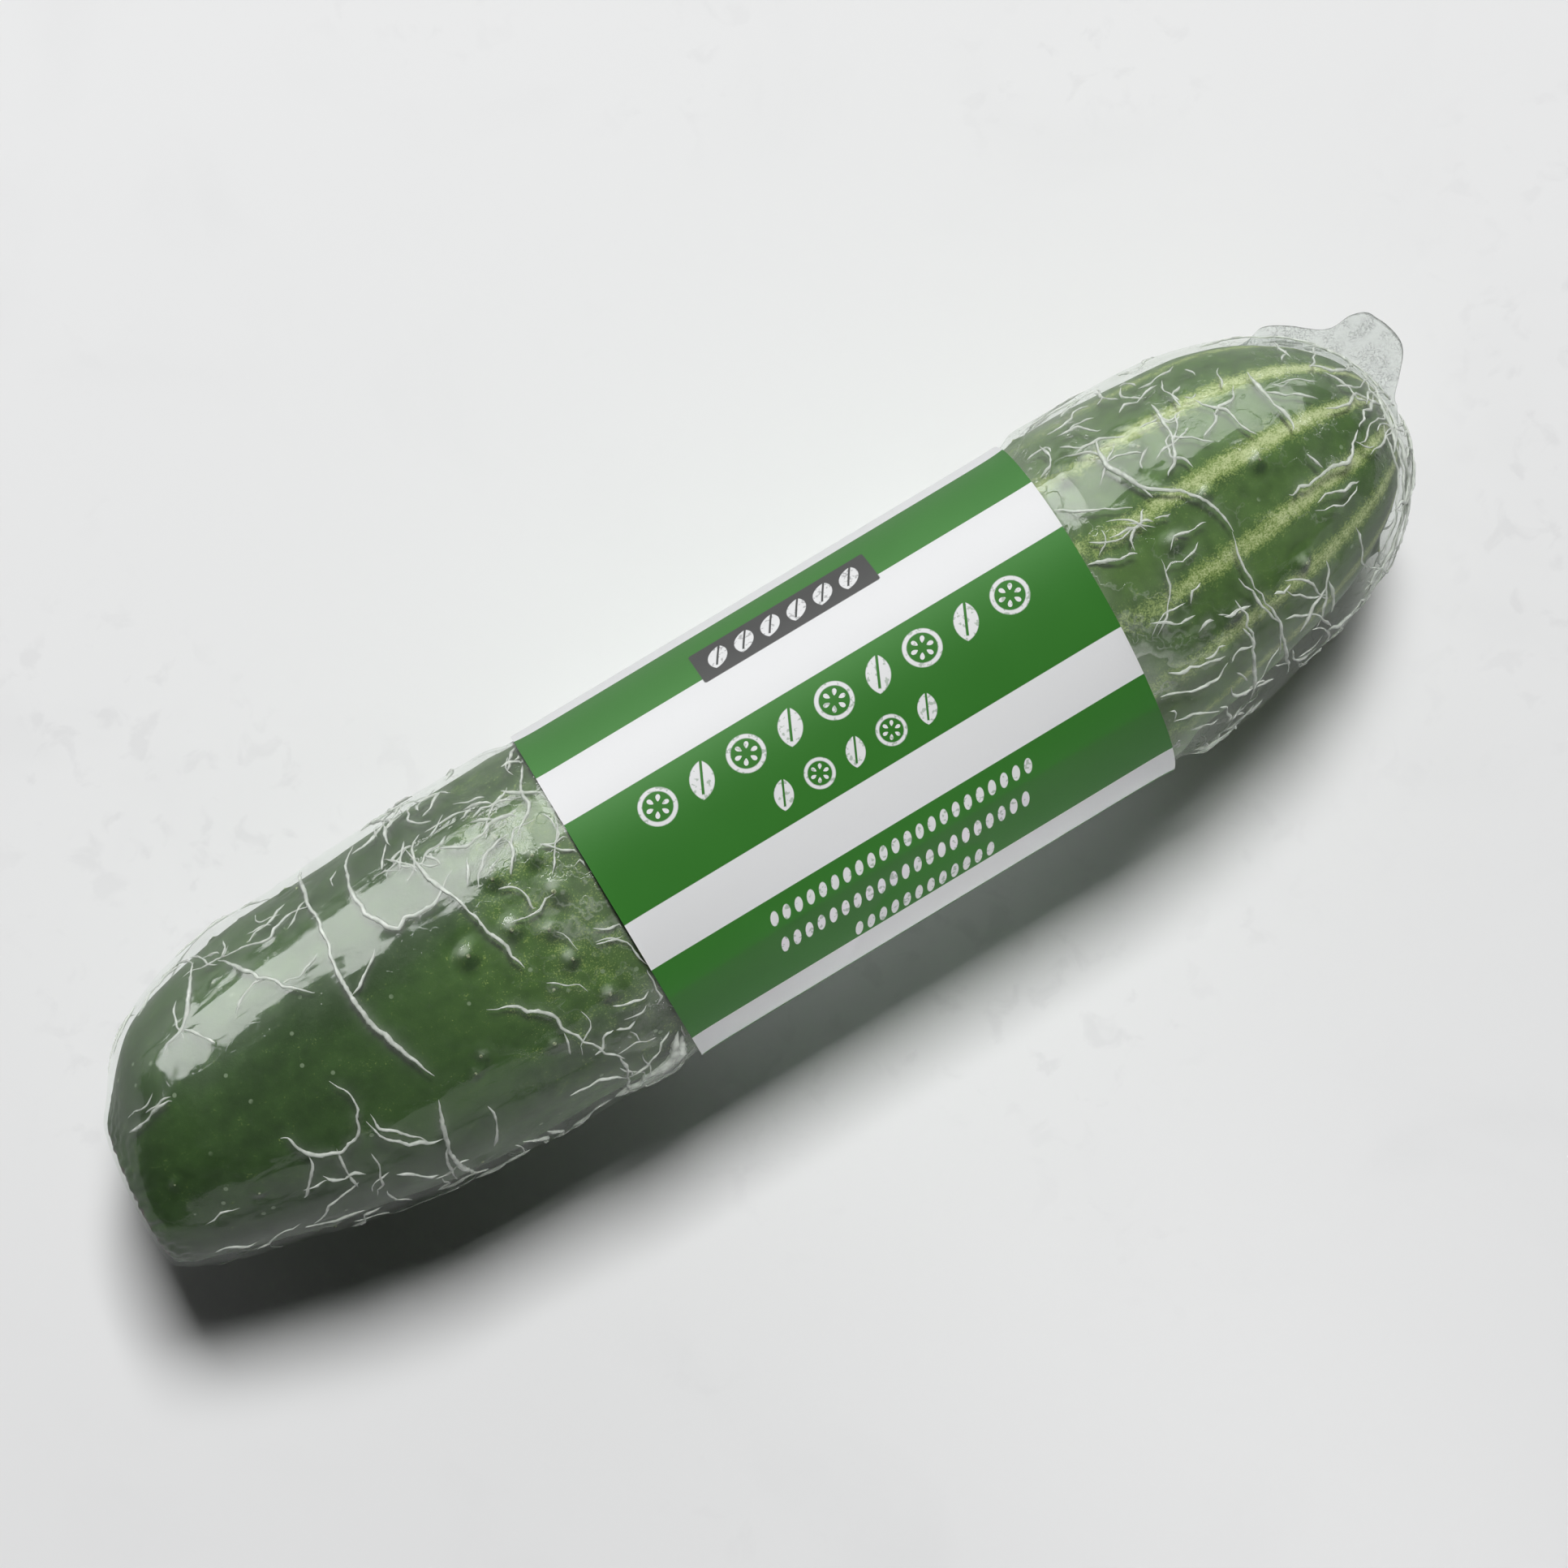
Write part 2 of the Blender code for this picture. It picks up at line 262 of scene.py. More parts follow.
@dataclass(frozen=True)
class FruitForm:
    """The shape that the fruit, the film and the sleeve share, in the frame's own place and size.

    Attributes:
        sleeve_radius: Outer radius of the sleeve.
        axis_height: Height of the centre line.
        sleeve_start: Stem-side edge of the sleeve.
        sleeve_end: Blossom-side edge of the sleeve, on the centre line.
        tip_x: Blossom tip of the outline that the film and the fruit are let out or sunk from.
    """

    sleeve_radius: float
    axis_height: float
    sleeve_start: float
    sleeve_end: float
    tip_x: float
    sleeve_wall: float = 0.3 * MM
    gap: float = 0.3 * MM
    film_wall: float = 0.2 * MM
    stem_face_x: float = -107.0 * MM
    rim_rounding: float = 0.5 * MM
    rim_reach: float = 1.2 * MM
    thickest_x: float = 33.5 * MM
    blossom_power: float = 3.4
    stem_power: float = 6.5
    stem_reach: float = 145.0 * MM
    blossom_slack: float = 0.9 * MM
    stem_slack: float = 0.6 * MM
    slack_fade: float = 4.0 * MM
    lobe_depth: float = 0.014
    lobe_phase: float = math.radians(20)
    lobe_start: float = 1.5 * MM
    lobe_fade: float = 20.0 * MM
    stem_lean: float = 0.09
    stem_lean_fade: float = 12.0 * MM
    sleeve_skew: float = 0.035
    flat_angle: float = math.radians(7.5)
    sway: tuple[tuple[float, float], ...] = (
        (-107.0, -2.1),
        (-101.5, -0.5),
        (-94.0, 0.7),
        (-81.0, 0.9),
        (-67.0, 0.0),
        (52.0, 0.0),
        (77.0, 1.3),
        (101.2, 1.6),
    )

    @classmethod
    def from_frame(cls) -> FruitForm:
        """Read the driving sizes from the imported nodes."""
        sleeve_low, sleeve_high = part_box("label_sleeve")
        fruit_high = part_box("cucumber")[1]
        radius = (sleeve_high.y - sleeve_low.y) / 2
        sunk = cls.film_wall + cls.gap
        return cls(
            sleeve_radius=radius,
            axis_height=sleeve_high.z - radius,
            sleeve_start=sleeve_low.x,
            sleeve_end=sleeve_high.x - cls.sleeve_skew * radius,
            tip_x=fruit_high.x + sunk,
        )

    @property
    def film_radius(self) -> float:
        """Largest radius of the film under the sleeve."""
        return self.sleeve_radius - self.sleeve_wall - self.gap

    @property
    def fruit_depth(self) -> float:
        """How far the fruit lies below the film's outer face where there is no slack."""
        return self.film_wall + self.gap

    def outside(self, x: np.ndarray) -> np.ndarray:
        """Distance along X past the nearer end of the sleeve, below zero under it."""
        return np.maximum(self.sleeve_start - x, x - self.sleeve_end)

    def slack(self, x: np.ndarray) -> np.ndarray:
        """How far the film stands off the fruit at x, on top of the gap."""
        side = np.where(x > (self.sleeve_start + self.sleeve_end) / 2, self.blossom_slack, self.stem_slack)
        to_end = np.minimum(self.tip_x - x, x - self.stem_face_x)
        end_share = 0.3 + 0.7 * eased(to_end / (10 * MM))
        return side * eased((self.outside(x) - 1.2 * MM) / self.slack_fade) * end_share

    def sway_at(self, x: np.ndarray) -> np.ndarray:
        """Sideways place of the centre line, on one smooth curve through its stations."""
        stations = np.array(self.sway) * MM
        xs, ys = stations[:, 0], stations[:, 1]
        slopes = np.zeros(len(xs))
        slopes[1:-1] = (ys[2:] - ys[:-2]) / (xs[2:] - xs[:-2])
        i = np.clip(np.searchsorted(xs, x) - 1, 0, len(xs) - 2)
        span = xs[i + 1] - xs[i]
        t = np.clip((x - xs[i]) / span, 0.0, 1.0)
        start = (1 + 2 * t) * (1 - t) ** 2 * ys[i] + t * (1 - t) ** 2 * span * slopes[i]
        return start + t * t * (3 - 2 * t) * ys[i + 1] - t * t * (1 - t) * span * slopes[i + 1]

    def outline(self, x: np.ndarray) -> tuple[np.ndarray, np.ndarray, np.ndarray]:
        """The outline at x before slack.

        Returns:
            Its radius, and its outward normal in x and in radius.
        """
        to_blossom = x > self.thickest_x
        reach = np.where(to_blossom, self.tip_x - self.thickest_x, self.stem_reach)
        power = np.where(to_blossom, self.blossom_power, self.stem_power)
        along = np.minimum(np.abs(x - self.thickest_x) / reach, 1.0)
        share = np.sqrt(np.maximum(1 - along**power, 0.0))
        rise = along ** (power - 1) * power / 2 / reach * np.where(to_blossom, 1, -1)
        fall = share / self.film_radius
        size = np.hypot(rise, fall)
        return self.film_radius * share, rise / size, fall / size

    def places(self, count: int) -> np.ndarray:
        """Places along X from the tip to the rim of the stem face, closer where the outline rounds over."""
        ends = []
        rim = (self.thickest_x - self.stem_face_x - self.rim_rounding) / self.stem_reach
        for reach, power, last in (
            (self.tip_x - self.thickest_x, self.blossom_power, 1.0),
            (-self.stem_reach, self.stem_power, rim),
        ):
            angles = np.linspace(0, math.asin(last ** (power / 2)), count)
            ends.append(self.thickest_x + reach * np.sin(angles) ** (2 / power))
        return np.concatenate([ends[0][::-1], ends[1][1:]])

    def meridian(
        self,
        depth: float,
        slack_share: float,
        face: Sequence[tuple[float, float]],
        spacing: tuple[float, float],
    ) -> tuple[np.ndarray, np.ndarray, np.ndarray]:
        """A half outline from the tip to the middle of the stem face.

        Args:
            depth: How far it is sunk.
            slack_share: Share of the slack that it is let out by.
            face: Radius and depth of the points on the stem face, from its rim inwards.
            spacing: Spacing of the rings in the open and under the sleeve.

        Returns:
            For each ring its x, its radius and the x that its sway and lobes belong to.
        """
        shape = self.places(1500)
        radius, nx, nr = self.outline(shape)
        sunk = depth - slack_share * self.slack(shape)
        x = shape - sunk * nx
        r = radius - sunk * nr
        face_x = self.stem_face_x + depth
        start = np.array([x[-1], r[-1]])
        heading = np.array([-nr[-1], nx[-1]])
        corner = face[0][0]
        handles = (
            start,
            start + heading * self.rim_rounding,
            np.array([face_x, corner + self.rim_reach]),
            np.array([face_x, corner]),
        )
        t = np.linspace(0, 1, 40)[1:, None]
        weights = ((1 - t) ** 3, 3 * t * (1 - t) ** 2, 3 * t * t * (1 - t), t**3)
        bend = sum(weight * handle for weight, handle in zip(weights, handles))
        flat = smooth_curve([(face_x + sunk_in, r_in) for r_in, sunk_in in face], 12)[1:]
        line = np.concatenate([np.stack([x, r], 1), bend, flat])
        belongs = np.concatenate([shape, np.full(len(bend) + len(flat), self.stem_face_x)])
        steps = np.linalg.norm(np.diff(line, axis=0), axis=1)
        middle = (line[1:, 0] + line[:-1, 0]) / 2
        hidden = eased(-(self.outside(middle) + 2 * MM) / (3 * MM))
        cost = np.concatenate([[0], np.cumsum(steps / (spacing[0] + (spacing[1] - spacing[0]) * hidden))])
        wanted = np.linspace(0, cost[-1], int(cost[-1]) + 2)[1:]
        return tuple(np.interp(wanted, cost, values) for values in (line[:, 0], line[:, 1], belongs))

    def points(
        self,
        x: np.ndarray,
        radius: np.ndarray,
        belongs: np.ndarray,
        angle: np.ndarray,
        skew: float | np.ndarray = 0.0,
    ) -> np.ndarray:
        """Points round the fruit, from arrays of shapes that fit each other.

        Args:
            x: Place along X.
            radius: Distance from the centre line.
            belongs: The x that the sway, the lobes and the lean are taken at.
            angle: Angle round the fruit.
            skew: Shift in X for each metre of Y.

        Returns:
            The points, on one further axis.
        """
        lobing = self.lobe_depth * eased((self.outside(belongs) - self.lobe_start) / self.lobe_fade)
        lean = skew + self.stem_lean * eased(1 - (belongs - self.stem_face_x) / self.stem_lean_fade)
        lobe = (1 + np.cos(3 * (math.pi / 2 - angle) + self.lobe_phase)) / 2
        local = radius * (1 - lobing * lobe)
        y = -local * np.sin(angle)
        z = np.maximum(local * np.cos(angle), -radius * math.cos(self.flat_angle))
        return np.stack([x + lean * y, y + self.sway_at(belongs), z + self.axis_height], axis=-1)

    def rings(
        self,
        x: np.ndarray,
        radius: np.ndarray,
        belongs: np.ndarray,
        angle: np.ndarray,
        skew: float | np.ndarray = 0.0,
    ) -> np.ndarray:
        """Points of whole rings: one place, radius and x that it belongs to for each ring."""
        radius = radius[:, None] if radius.ndim == 1 else radius
        return self.points(x[:, None], radius, belongs[:, None], angle[None, :], skew)

    def on_film(self, x: np.ndarray, angle: np.ndarray) -> np.ndarray:
        """Points on the film's outer face at places along X and angles."""
        radius, nx, nr = self.outline(x)
        out = self.slack(x)
        return self.points(x + out * nx, radius + out * nr, x, angle)


def smooth_curve(points: Sequence[Sequence[float]], steps: int) -> np.ndarray:
    """A Catmull-Rom curve through points.

    Args:
        points: The points that it passes through.
        steps: Pieces between two of them.

    Returns:
        The curve's points, both ends included.
    """
    given = np.array(points, float)
    padded = np.concatenate([given[:1], given, given[-1:]])
    t = (np.arange(steps) / steps)[:, None]
    parts = []
    for a, b, c, d in zip(padded, padded[1:], padded[2:], padded[3:]):
        parts.append(
            (-0.5 * t + t**2 - 0.5 * t**3) * a
            + (1 - 2.5 * t**2 + 1.5 * t**3) * b
            + (0.5 * t + 2 * t**2 - 1.5 * t**3) * c
            + (-0.5 * t**2 + 0.5 * t**3) * d
        )
    return np.concatenate([*parts, given[-1:]])


def grid_normals(grid: np.ndarray) -> np.ndarray:
    """Outward normals of rings of points that run from the blossom tip to the stem."""
    along = np.gradient(grid, axis=0)
    round_it = np.roll(grid, -1, axis=1) - np.roll(grid, 1, axis=1)
    normal = np.cross(round_it, along)
    normal /= np.maximum(np.linalg.norm(normal, axis=2, keepdims=True), 1e-12)
    middle = grid.mean(axis=1, keepdims=True)
    outward = np.sign(np.sum(normal * (grid - middle), axis=2).mean())
    return normal * outward


# --------------------------------------------------------------------------- mesh helpers


def ring_faces(near: int, far: int, count: int) -> list[tuple[int, int, int, int]]:
    """Quads between two rings of the same count that start at two vertex numbers."""
    return [(near + i, near + (i + 1) % count, far + (i + 1) % count, far + i) for i in range(count)]


def fan_faces(ring: int, count: int, point: int) -> list[tuple[int, int, int]]:
    """Triangles between a ring and one point."""
    return [(ring + i, ring + (i + 1) % count, point) for i in range(count)]


def make_mesh(name: str, points: np.ndarray, faces: Iterable[Sequence[int]]) -> bpy.types.Mesh:
    """A smooth closed mesh whose faces point outwards, whichever way they were listed."""
    mesh = bpy.data.meshes.new(name)
    mesh.from_pydata(points.reshape(-1, 3).tolist(), [], list(faces))
    mesh.update()
    mesh.calc_loop_triangles()
    corners = np.empty(len(mesh.loop_triangles) * 3, np.int64)
    mesh.loop_triangles.foreach_get("vertices", corners)
    a, b, c = points.reshape(-1, 3)[corners.reshape(-1, 3)].transpose(1, 0, 2)
    if np.einsum("ij,ij->i", a, np.cross(b, c)).sum() < 0:
        mesh.flip_normals()
    mesh.shade_smooth()
    return mesh


def add_numbers(mesh: bpy.types.Mesh, name: str, values: np.ndarray) -> None:
    """Store a number on each point of a mesh."""
    layer = mesh.attributes.new(name, "FLOAT", "POINT")
    layer.data.foreach_set("value", np.asarray(values, np.float32).ravel())


def add_piece(mesh: bpy.types.Mesh, materials: Sequence[bpy.types.Material]) -> bpy.types.Object:
    """Make a mesh a piece of the object that rides on its only body."""
    piece = bpy.data.objects.new(mesh.name, mesh)
    bpy.context.scene.collection.objects.link(piece)
    for material in materials:
        mesh.materials.append(material)
    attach(piece, BODY)
    LOG.info("%s: %d faces", piece.name, len(mesh.polygons))
    return piece


# --------------------------------------------------------------------------- the fruit


@dataclass(frozen=True)
class Wart:
    """One bump of the skin.

    Attributes:
        x: Place along the fruit in millimetres.
        angle: Angle in degrees.
        height: Height in millimetres.
        radius: Radius in millimetres.
    """

    x: float
    angle: float
    height: float
    radius: float


@dataclass(frozen=True)
class SkinFinish:
    """Waxy green skin with pale grainy stripes towards the blossom end."""

    deep: tuple[float, float, float] = (0.024, 0.054, 0.014)
    green: tuple[float, float, float] = (0.044, 0.096, 0.024)
    fresh: tuple[float, float, float] = (0.098, 0.188, 0.043)
    stripe: tuple[float, float, float] = (0.50, 0.56, 0.29)
    edge: tuple[float, float, float] = (0.21, 0.29, 0.080)
    shade: tuple[float, float, float] = (0.015, 0.038, 0.010)
    pore: tuple[float, float, float] = (0.30, 0.38, 0.25)
    cork: tuple[float, float, float] = (0.055, 0.038, 0.022)
    roughness: float = 0.42

    def build(self) -> bpy.types.Material:
        """Make the material."""
        g = Graph("cucumber_skin")
        place = g.position()
        cloud = g.noise(g.stretched(place, (0.30, 1.0, 1.0)), 85.0, 3.0)
        patch = g.noise(place, 420.0, 3.0)
        fine = g.noise(place, 1500.0, 2.0)
        grain = g.noise(place, 4200.0, 1.0)
        stripe = g.attribute("stripe")
        fresh = g.attribute("fresh")
        speckle = g.attribute("speckle")
        colour = g.blend((cloud * 0.7 + patch * 0.3).step(0.36, 0.66), self.deep, self.green)
        colour = g.blend((fresh + (cloud - 0.5) * 0.8 + (patch - 0.5) * 0.5).step(0.10, 1.10), colour, self.fresh)
        ragged = stripe + (grain - 0.5) * 1.1 + (fine - 0.5) * 0.7 + (patch - 0.5) * 0.6
        colour = g.blend(ragged.step(0.20, 0.72), colour, self.edge)
        colour = g.blend(ragged.step(0.55, 1.15), colour, self.stripe)
        dots = (speckle + (grain - 0.5) * 2.4 + (patch - 0.5) * 1.4).step(0.72, 1.02)
        colour = g.blend(dots * 0.8, colour, self.edge)
        colour = g.blend((g.attribute("ring") + (fine - 0.5) * 0.6).step(0.15, 0.85) * 0.75, colour, self.shade)
        colour = g.blend((g.attribute("wart") + (fine - 0.5) * 0.5).step(0.20, 0.90) * 0.55, colour, self.pore)
        pores = g.cells(place, 330.0).step(0.13, 0.09) * g.noise(place, 130.0, 1.0).step(0.50, 0.56)
        colour = g.blend(pores * 0.5, colour, self.pore)
        colour = g.blend((g.attribute("cork") + (fine - 0.5) * 0.8).step(0.35, 0.75), colour, self.cork)
        surface = g.principled(
            {
                "Base Color": colour,
                "Roughness": (fine - 0.5) * 0.25 + self.roughness,
                "Specular IOR Level": 0.18,
                "Normal": g.bump(fine * 0.6 + grain * 0.25, 0.07 * MM, 0.6),
            }
        )
        return g.finish(surface)


@dataclass(frozen=True)
class SpineFinish:
    """Pale corky tips that the spines leave on the warts."""

    colour: tuple[float, float, float] = (0.36, 0.42, 0.24)
    dark: tuple[float, float, float] = (0.10, 0.12, 0.05)

    def build(self) -> bpy.types.Material:
        """Make the material."""
        g = Graph("spine_tips")
        patch = g.noise(g.position(), 2600.0, 2.0)
        surface = g.principled(
            {
                "Base Color": g.blend(patch.step(0.35, 0.65), self.dark, self.colour),
                "Roughness": patch * 0.2 + 0.5,
                "Normal": g.bump(patch, 0.05 * MM),
            }
        )
        return g.finish(surface)


@dataclass
class Fruit:
    """The cucumber itself: body, warts, pale stripes and the corky stem scar."""

    form: FruitForm
    sides: int = 320
    spacing: tuple[float, float] = (0.62 * MM, 3.0 * MM)
    loose_inset: float = 1.3 * MM
    snug_lift: float = 0.45 * MM
    scar: tuple[tuple[float, float], ...] = (
        (8.4, 0.0),
        (6.9, 0.05),
        (5.2, 0.1),
        (4.0, 0.6),
        (3.0, 0.55),
        (2.3, 0.15),
        (1.2, 0.1),
        (0.05, 0.2),
    )
    stripes: tuple[tuple[float, float], ...] = (
        (-44, 1.0),
        (-15, 1.0),
        (12, 0.9),
        (36, 0.8),
        (62, 0.7),
        (92, 0.9),
        (121, 0.8),
        (150, 1.0),
        (-180, 0.8),
        (-150, 0.9),
        (-122, 0.8),
        (-97, 0.9),
        (-73, 0.6),
    )
    warts: tuple[Wart, ...] = (
        Wart(-35.2, -9, 1.15, 2.3),
        Wart(-38.6, 0, 0.95, 1.6),
        Wart(-42.8, -6, 1.20, 1.9),
        Wart(-49.9, -6, 1.20, 1.9),
        Wart(-38.2, 11, 1.05, 1.7),
        Wart(-36.2, 27, 1.00, 1.7),
        Wart(-31.8, 9, 0.60, 1.4),
        Wart(-38.4, -35, 0.85, 1.7),
        Wart(-41.5, -23, 1.00, 1.8),
        Wart(-35.5, -22, 0.85, 1.7),
        Wart(-42.4, 17, 0.45, 1.4),
        Wart(-46.0, 33, 0.60, 1.7),
        Wart(-55.0, 24, 0.50, 1.5),
        Wart(-57.0, 28, 0.50, 1.3),
        Wart(60.9, -2, 1.15, 1.7),
        Wart(76.8, -9, 1.05, 1.5),
        Wart(68.1, -9, 0.85, 1.4),
        Wart(53.3, -41, 0.95, 1.6),
        Wart(64.3, -36, 0.70, 1.5),
        Wart(75.7, 31, 0.95, 1.7),
        Wart(64.0, 30, 0.60, 1.5),
        Wart(-91.0, 35, 0.40, 1.0),
        Wart(-100.0, 12, 0.40, 0.9),
        Wart(-81.5, -48, 0.40, 1.1),
    )
    hidden_warts: int = 46
    seed: int = 11

    def all_warts(self) -> list[Wart]:
        """The placed warts, and seeded ones over the rest of the skin."""
        draw = np.random.default_rng(self.seed)
        made = list(self.warts)
        while len(made) < len(self.warts) + self.hidden_warts:
            x = draw.uniform(-96, 94)
            angle = draw.uniform(70, 290)
            crowded = any(math.hypot(w.x - x, (w.angle - angle) * 0.43) < 5 for w in made)
            if self.form.outside(np.array(x * MM)) < 2 * MM or crowded:
                continue
            made.append(Wart(x, angle, draw.uniform(0.3, 0.7), draw.uniform(1.2, 1.8)))
        return made

    def wart_field(
        self, x: np.ndarray, angle: np.ndarray, radius: np.ndarray
    ) -> tuple[np.ndarray, np.ndarray, np.ndarray]:
        """Height of the warts, how far a point is on their pale sides, and how far on their dark sides."""
        height = np.zeros(np.broadcast_shapes(x.shape, angle.shape))
        pale, dark = np.zeros_like(height), np.zeros_like(height)
        for wart in self.all_warts():
            across = wrapped(angle - math.radians(wart.angle)) * radius
            distance = np.hypot(x - wart.x * MM, across) / (wart.radius * MM)
            turn = np.arctan2(across, x - wart.x * MM)
            distance = distance * (1 + 0.14 * np.sin(2 * turn + wart.x) + 0.09 * np.sin(3 * turn + wart.angle))
            dome = 0.75 * np.exp(-((distance / 0.80) ** 2)) + 0.35 * np.exp(-((distance / 0.34) ** 2))
            moat = -0.26 * np.exp(-(((distance - 1.35) / 0.40) ** 2))
            height += wart.height * MM * (dome + moat)
            along, up = (x - wart.x * MM) / (wart.radius * MM), across / (wart.radius * MM)
            strength = min(wart.height, 1.0)
            pale = np.maximum(pale, strength * np.exp(-(np.hypot(along / 0.55, (up + 0.42) / 0.38) ** 2)))
            dark = np.maximum(dark, strength * np.exp(-(np.hypot(along / 0.80, (up - 0.62) / 0.50) ** 2)))
        return height, pale, dark

    def stripe_field(self, x: np.ndarray, angle: np.ndarray) -> np.ndarray:
        """How strongly the pale stripes show: full near the blossom tip, fading towards the sleeve."""
        shown = np.zeros(np.broadcast_shapes(x.shape, angle.shape))
        along = eased((x - 38 * MM) / (50 * MM))
        drift = 0.05 * np.sin(x / (9 * MM)) + 0.03 * np.sin(x / (3.7 * MM))
        width = 0.055 + 0.030 * along + 0.045 * eased((62 * MM - x) / (16 * MM))
        for middle, strength in self.stripes:
            away = wrapped(angle - math.radians(middle) - drift * (1 - along)) / width
            shown = np.maximum(shown, strength * (0.78 + 0.22 * along) * np.exp(-(away**2)))
        cap = eased((x - 96 * MM) / (5 * MM))
        return np.maximum(shown * (0.70 + 0.30 * eased((x - 50 * MM) / (14 * MM))), 0.5 * cap) * (x > 30 * MM)

    def build(self) -> None:
        """Make the fruit and the tips of its warts."""
        form = self.form
        face = [(r * MM, d * MM) for r, d in self.scar]
        x, radius, belongs = form.meridian(form.fruit_depth, 0.0, face, self.spacing)
        angle = np.arange(self.sides) * 2 * math.pi / self.sides
        grid = form.rings(x, radius, belongs, angle)
        normals = grid_normals(grid)
        warts, pale, dark = self.wart_field(x[:, None], angle[None, :], radius[:, None])
        on_face = eased((x - form.stem_face_x - 1.5 * MM) / (4 * MM))[:, None]
        roll = Waves(22 * MM, 3).at(grid) * 0.16 * MM + Waves(7 * MM, 4).at(grid) * 0.05 * MM
        open_share = eased((form.outside(belongs) - 1 * MM) / (4 * MM))[:, None]
        scar_relief = Waves(1.6 * MM, 8).at(grid) * 0.14 * MM * (1 - on_face)
        loose = -self.loose_inset * self.side_bulge(angle, belongs, (88, 42), 45 * MM)
        snug = self.snug_lift * self.side_bulge(angle, belongs, (-80, 45), 54 * MM)
        lift = (warts + roll + loose + snug) * open_share * on_face + scar_relief
        grid = grid + normals * lift[..., None]
        rings, sides = grid.shape[:2]
        tip = grid[0].mean(axis=0) + np.array([0.02 * MM, 0, 0])
        end = grid[-1].mean(axis=0)
        faces = [f for k in range(rings - 1) for f in ring_faces(k * sides, (k + 1) * sides, sides)]
        faces += [f[::-1] for f in fan_faces(0, sides, rings * sides)]
        faces += fan_faces((rings - 1) * sides, sides, rings * sides + 1)
        points = np.concatenate([grid.reshape(-1, 3), [tip, end]])
        mesh = make_mesh("cucumber_fruit", points, faces)
        shape_x = np.broadcast_to(belongs[:, None], (rings, sides))
        self.dress(mesh, shape_x, angle, radius, pale * open_share, dark * open_share)
        piece = add_piece(mesh, [SkinFinish().build()])
        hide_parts("cucumber")
        self.build_tips(grid, normals, x, angle)

    @staticmethod
    def side_bulge(angle: np.ndarray, x: np.ndarray, side: tuple[float, float], start: float) -> np.ndarray:
        """A share that is 1 on one side past a place along X: the side is its middle and spread in degrees."""
        middle, spread = (math.radians(value) for value in side)
        share = np.exp(-((wrapped(angle - middle) / spread) ** 2))
        return share[None, :] * eased((x - start) / (12 * MM))[:, None]

    def dress(
        self,
        mesh: bpy.types.Mesh,
        x: np.ndarray,
        angle: np.ndarray,
        radius: np.ndarray,
        pale: np.ndarray,
        dark: np.ndarray,
    ) -> None:
        """Store where the skin is striped, fresh green, speckled, warty or corky."""
        poles = np.zeros(2)
        stripes = self.stripe_field(x, angle[None, :])
        turn = wrapped(angle)[None, :]
        upward = 0.45 + 0.55 * np.exp(-(((turn + 0.05) / 0.95) ** 2))
        collar = np.exp(-(((x + 36 * MM) / (15 * MM)) ** 2)) * upward
        fresh = 0.62 * collar + 0.62 * eased((x - 30 * MM) / (25 * MM)) - 0.2 * eased((x - 75 * MM) / (25 * MM))
        speckle = 0.62 * collar + 0.12 * np.exp(-(((x - 52 * MM) / (12 * MM)) ** 2))
        cork = eased((11.6 * MM - radius) / (1.2 * MM))[:, None] * (x <= self.form.stem_face_x)
        for name, values, pole in (
            ("stripe", stripes, (0.6, 0.0)),
            ("fresh", fresh, (0.4, 0.0)),
            ("speckle", speckle, (0.3, 0.0)),
            ("wart", pale, poles),
            ("ring", dark, poles),
            ("cork", cork, (0.0, 1.0)),
        ):
            add_numbers(mesh, name, np.concatenate([np.asarray(values).ravel(), pole]))

    def build_tips(self, grid: np.ndarray, normals: np.ndarray, x: np.ndarray, angle: np.ndarray) -> None:
        """Small corky tips on the warts, set on the finished skin."""
        seats, ups, sizes = [], [], []
        for wart in self.all_warts():
            i = int(np.argmin(np.abs(x - wart.x * MM)))
            j = int(np.argmin(np.abs(wrapped(angle - math.radians(wart.angle)))))
            seats.append(grid[i, j] - normals[i, j] * 0.10 * MM)
            ups.append(normals[i, j])
            sizes.append(wart.radius * 0.17 * MM)
        piece = scatter("wart_tips", np.array(seats), np.array(ups), np.array(sizes), SpineFinish().build())
        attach(piece, BODY)


# --------------------------------------------------------------------------- geometry nodes


def new_tree(name: str, inputs: Sequence[tuple[str, str, Any]]) -> tuple[bpy.types.NodeTree, dict[str, str]]:
    """An empty Geometry Nodes tree with named inputs.

    Args:
        name: The tree's name.
        inputs: Name, socket type and default of each input after the geometry.

    Returns:
        The tree, and each input's identifier by its name.
    """
    tree = bpy.data.node_groups.new(name, "GeometryNodeTree")
    tree.interface.new_socket("Geometry", in_out="INPUT", socket_type="NodeSocketGeometry")
    tree.interface.new_socket("Geometry", in_out="OUTPUT", socket_type="NodeSocketGeometry")
    identifiers = {}
    for label, kind, default in inputs:
        socket = tree.interface.new_socket(label, in_out="INPUT", socket_type=kind)
        if default is not None:
            socket.default_value = default
        identifiers[label] = socket.identifier
    return tree, identifiers


def tree_node(
    tree: bpy.types.NodeTree, kind: str, settings: dict[str, Any] | None = None, inputs: dict[Any, Any] | None = None
) -> bpy.types.Node:
    """Add a node to a Geometry Nodes tree, with its settings, values and links."""
    node = tree.nodes.new(kind)
    for key, setting in (settings or {}).items():
        setattr(node, key, setting)
    for key, given in (inputs or {}).items():
        if isinstance(given, bpy.types.NodeSocket):
            tree.links.new(given, node.inputs[key])
        else:
            node.inputs[key].default_value = given
    return node


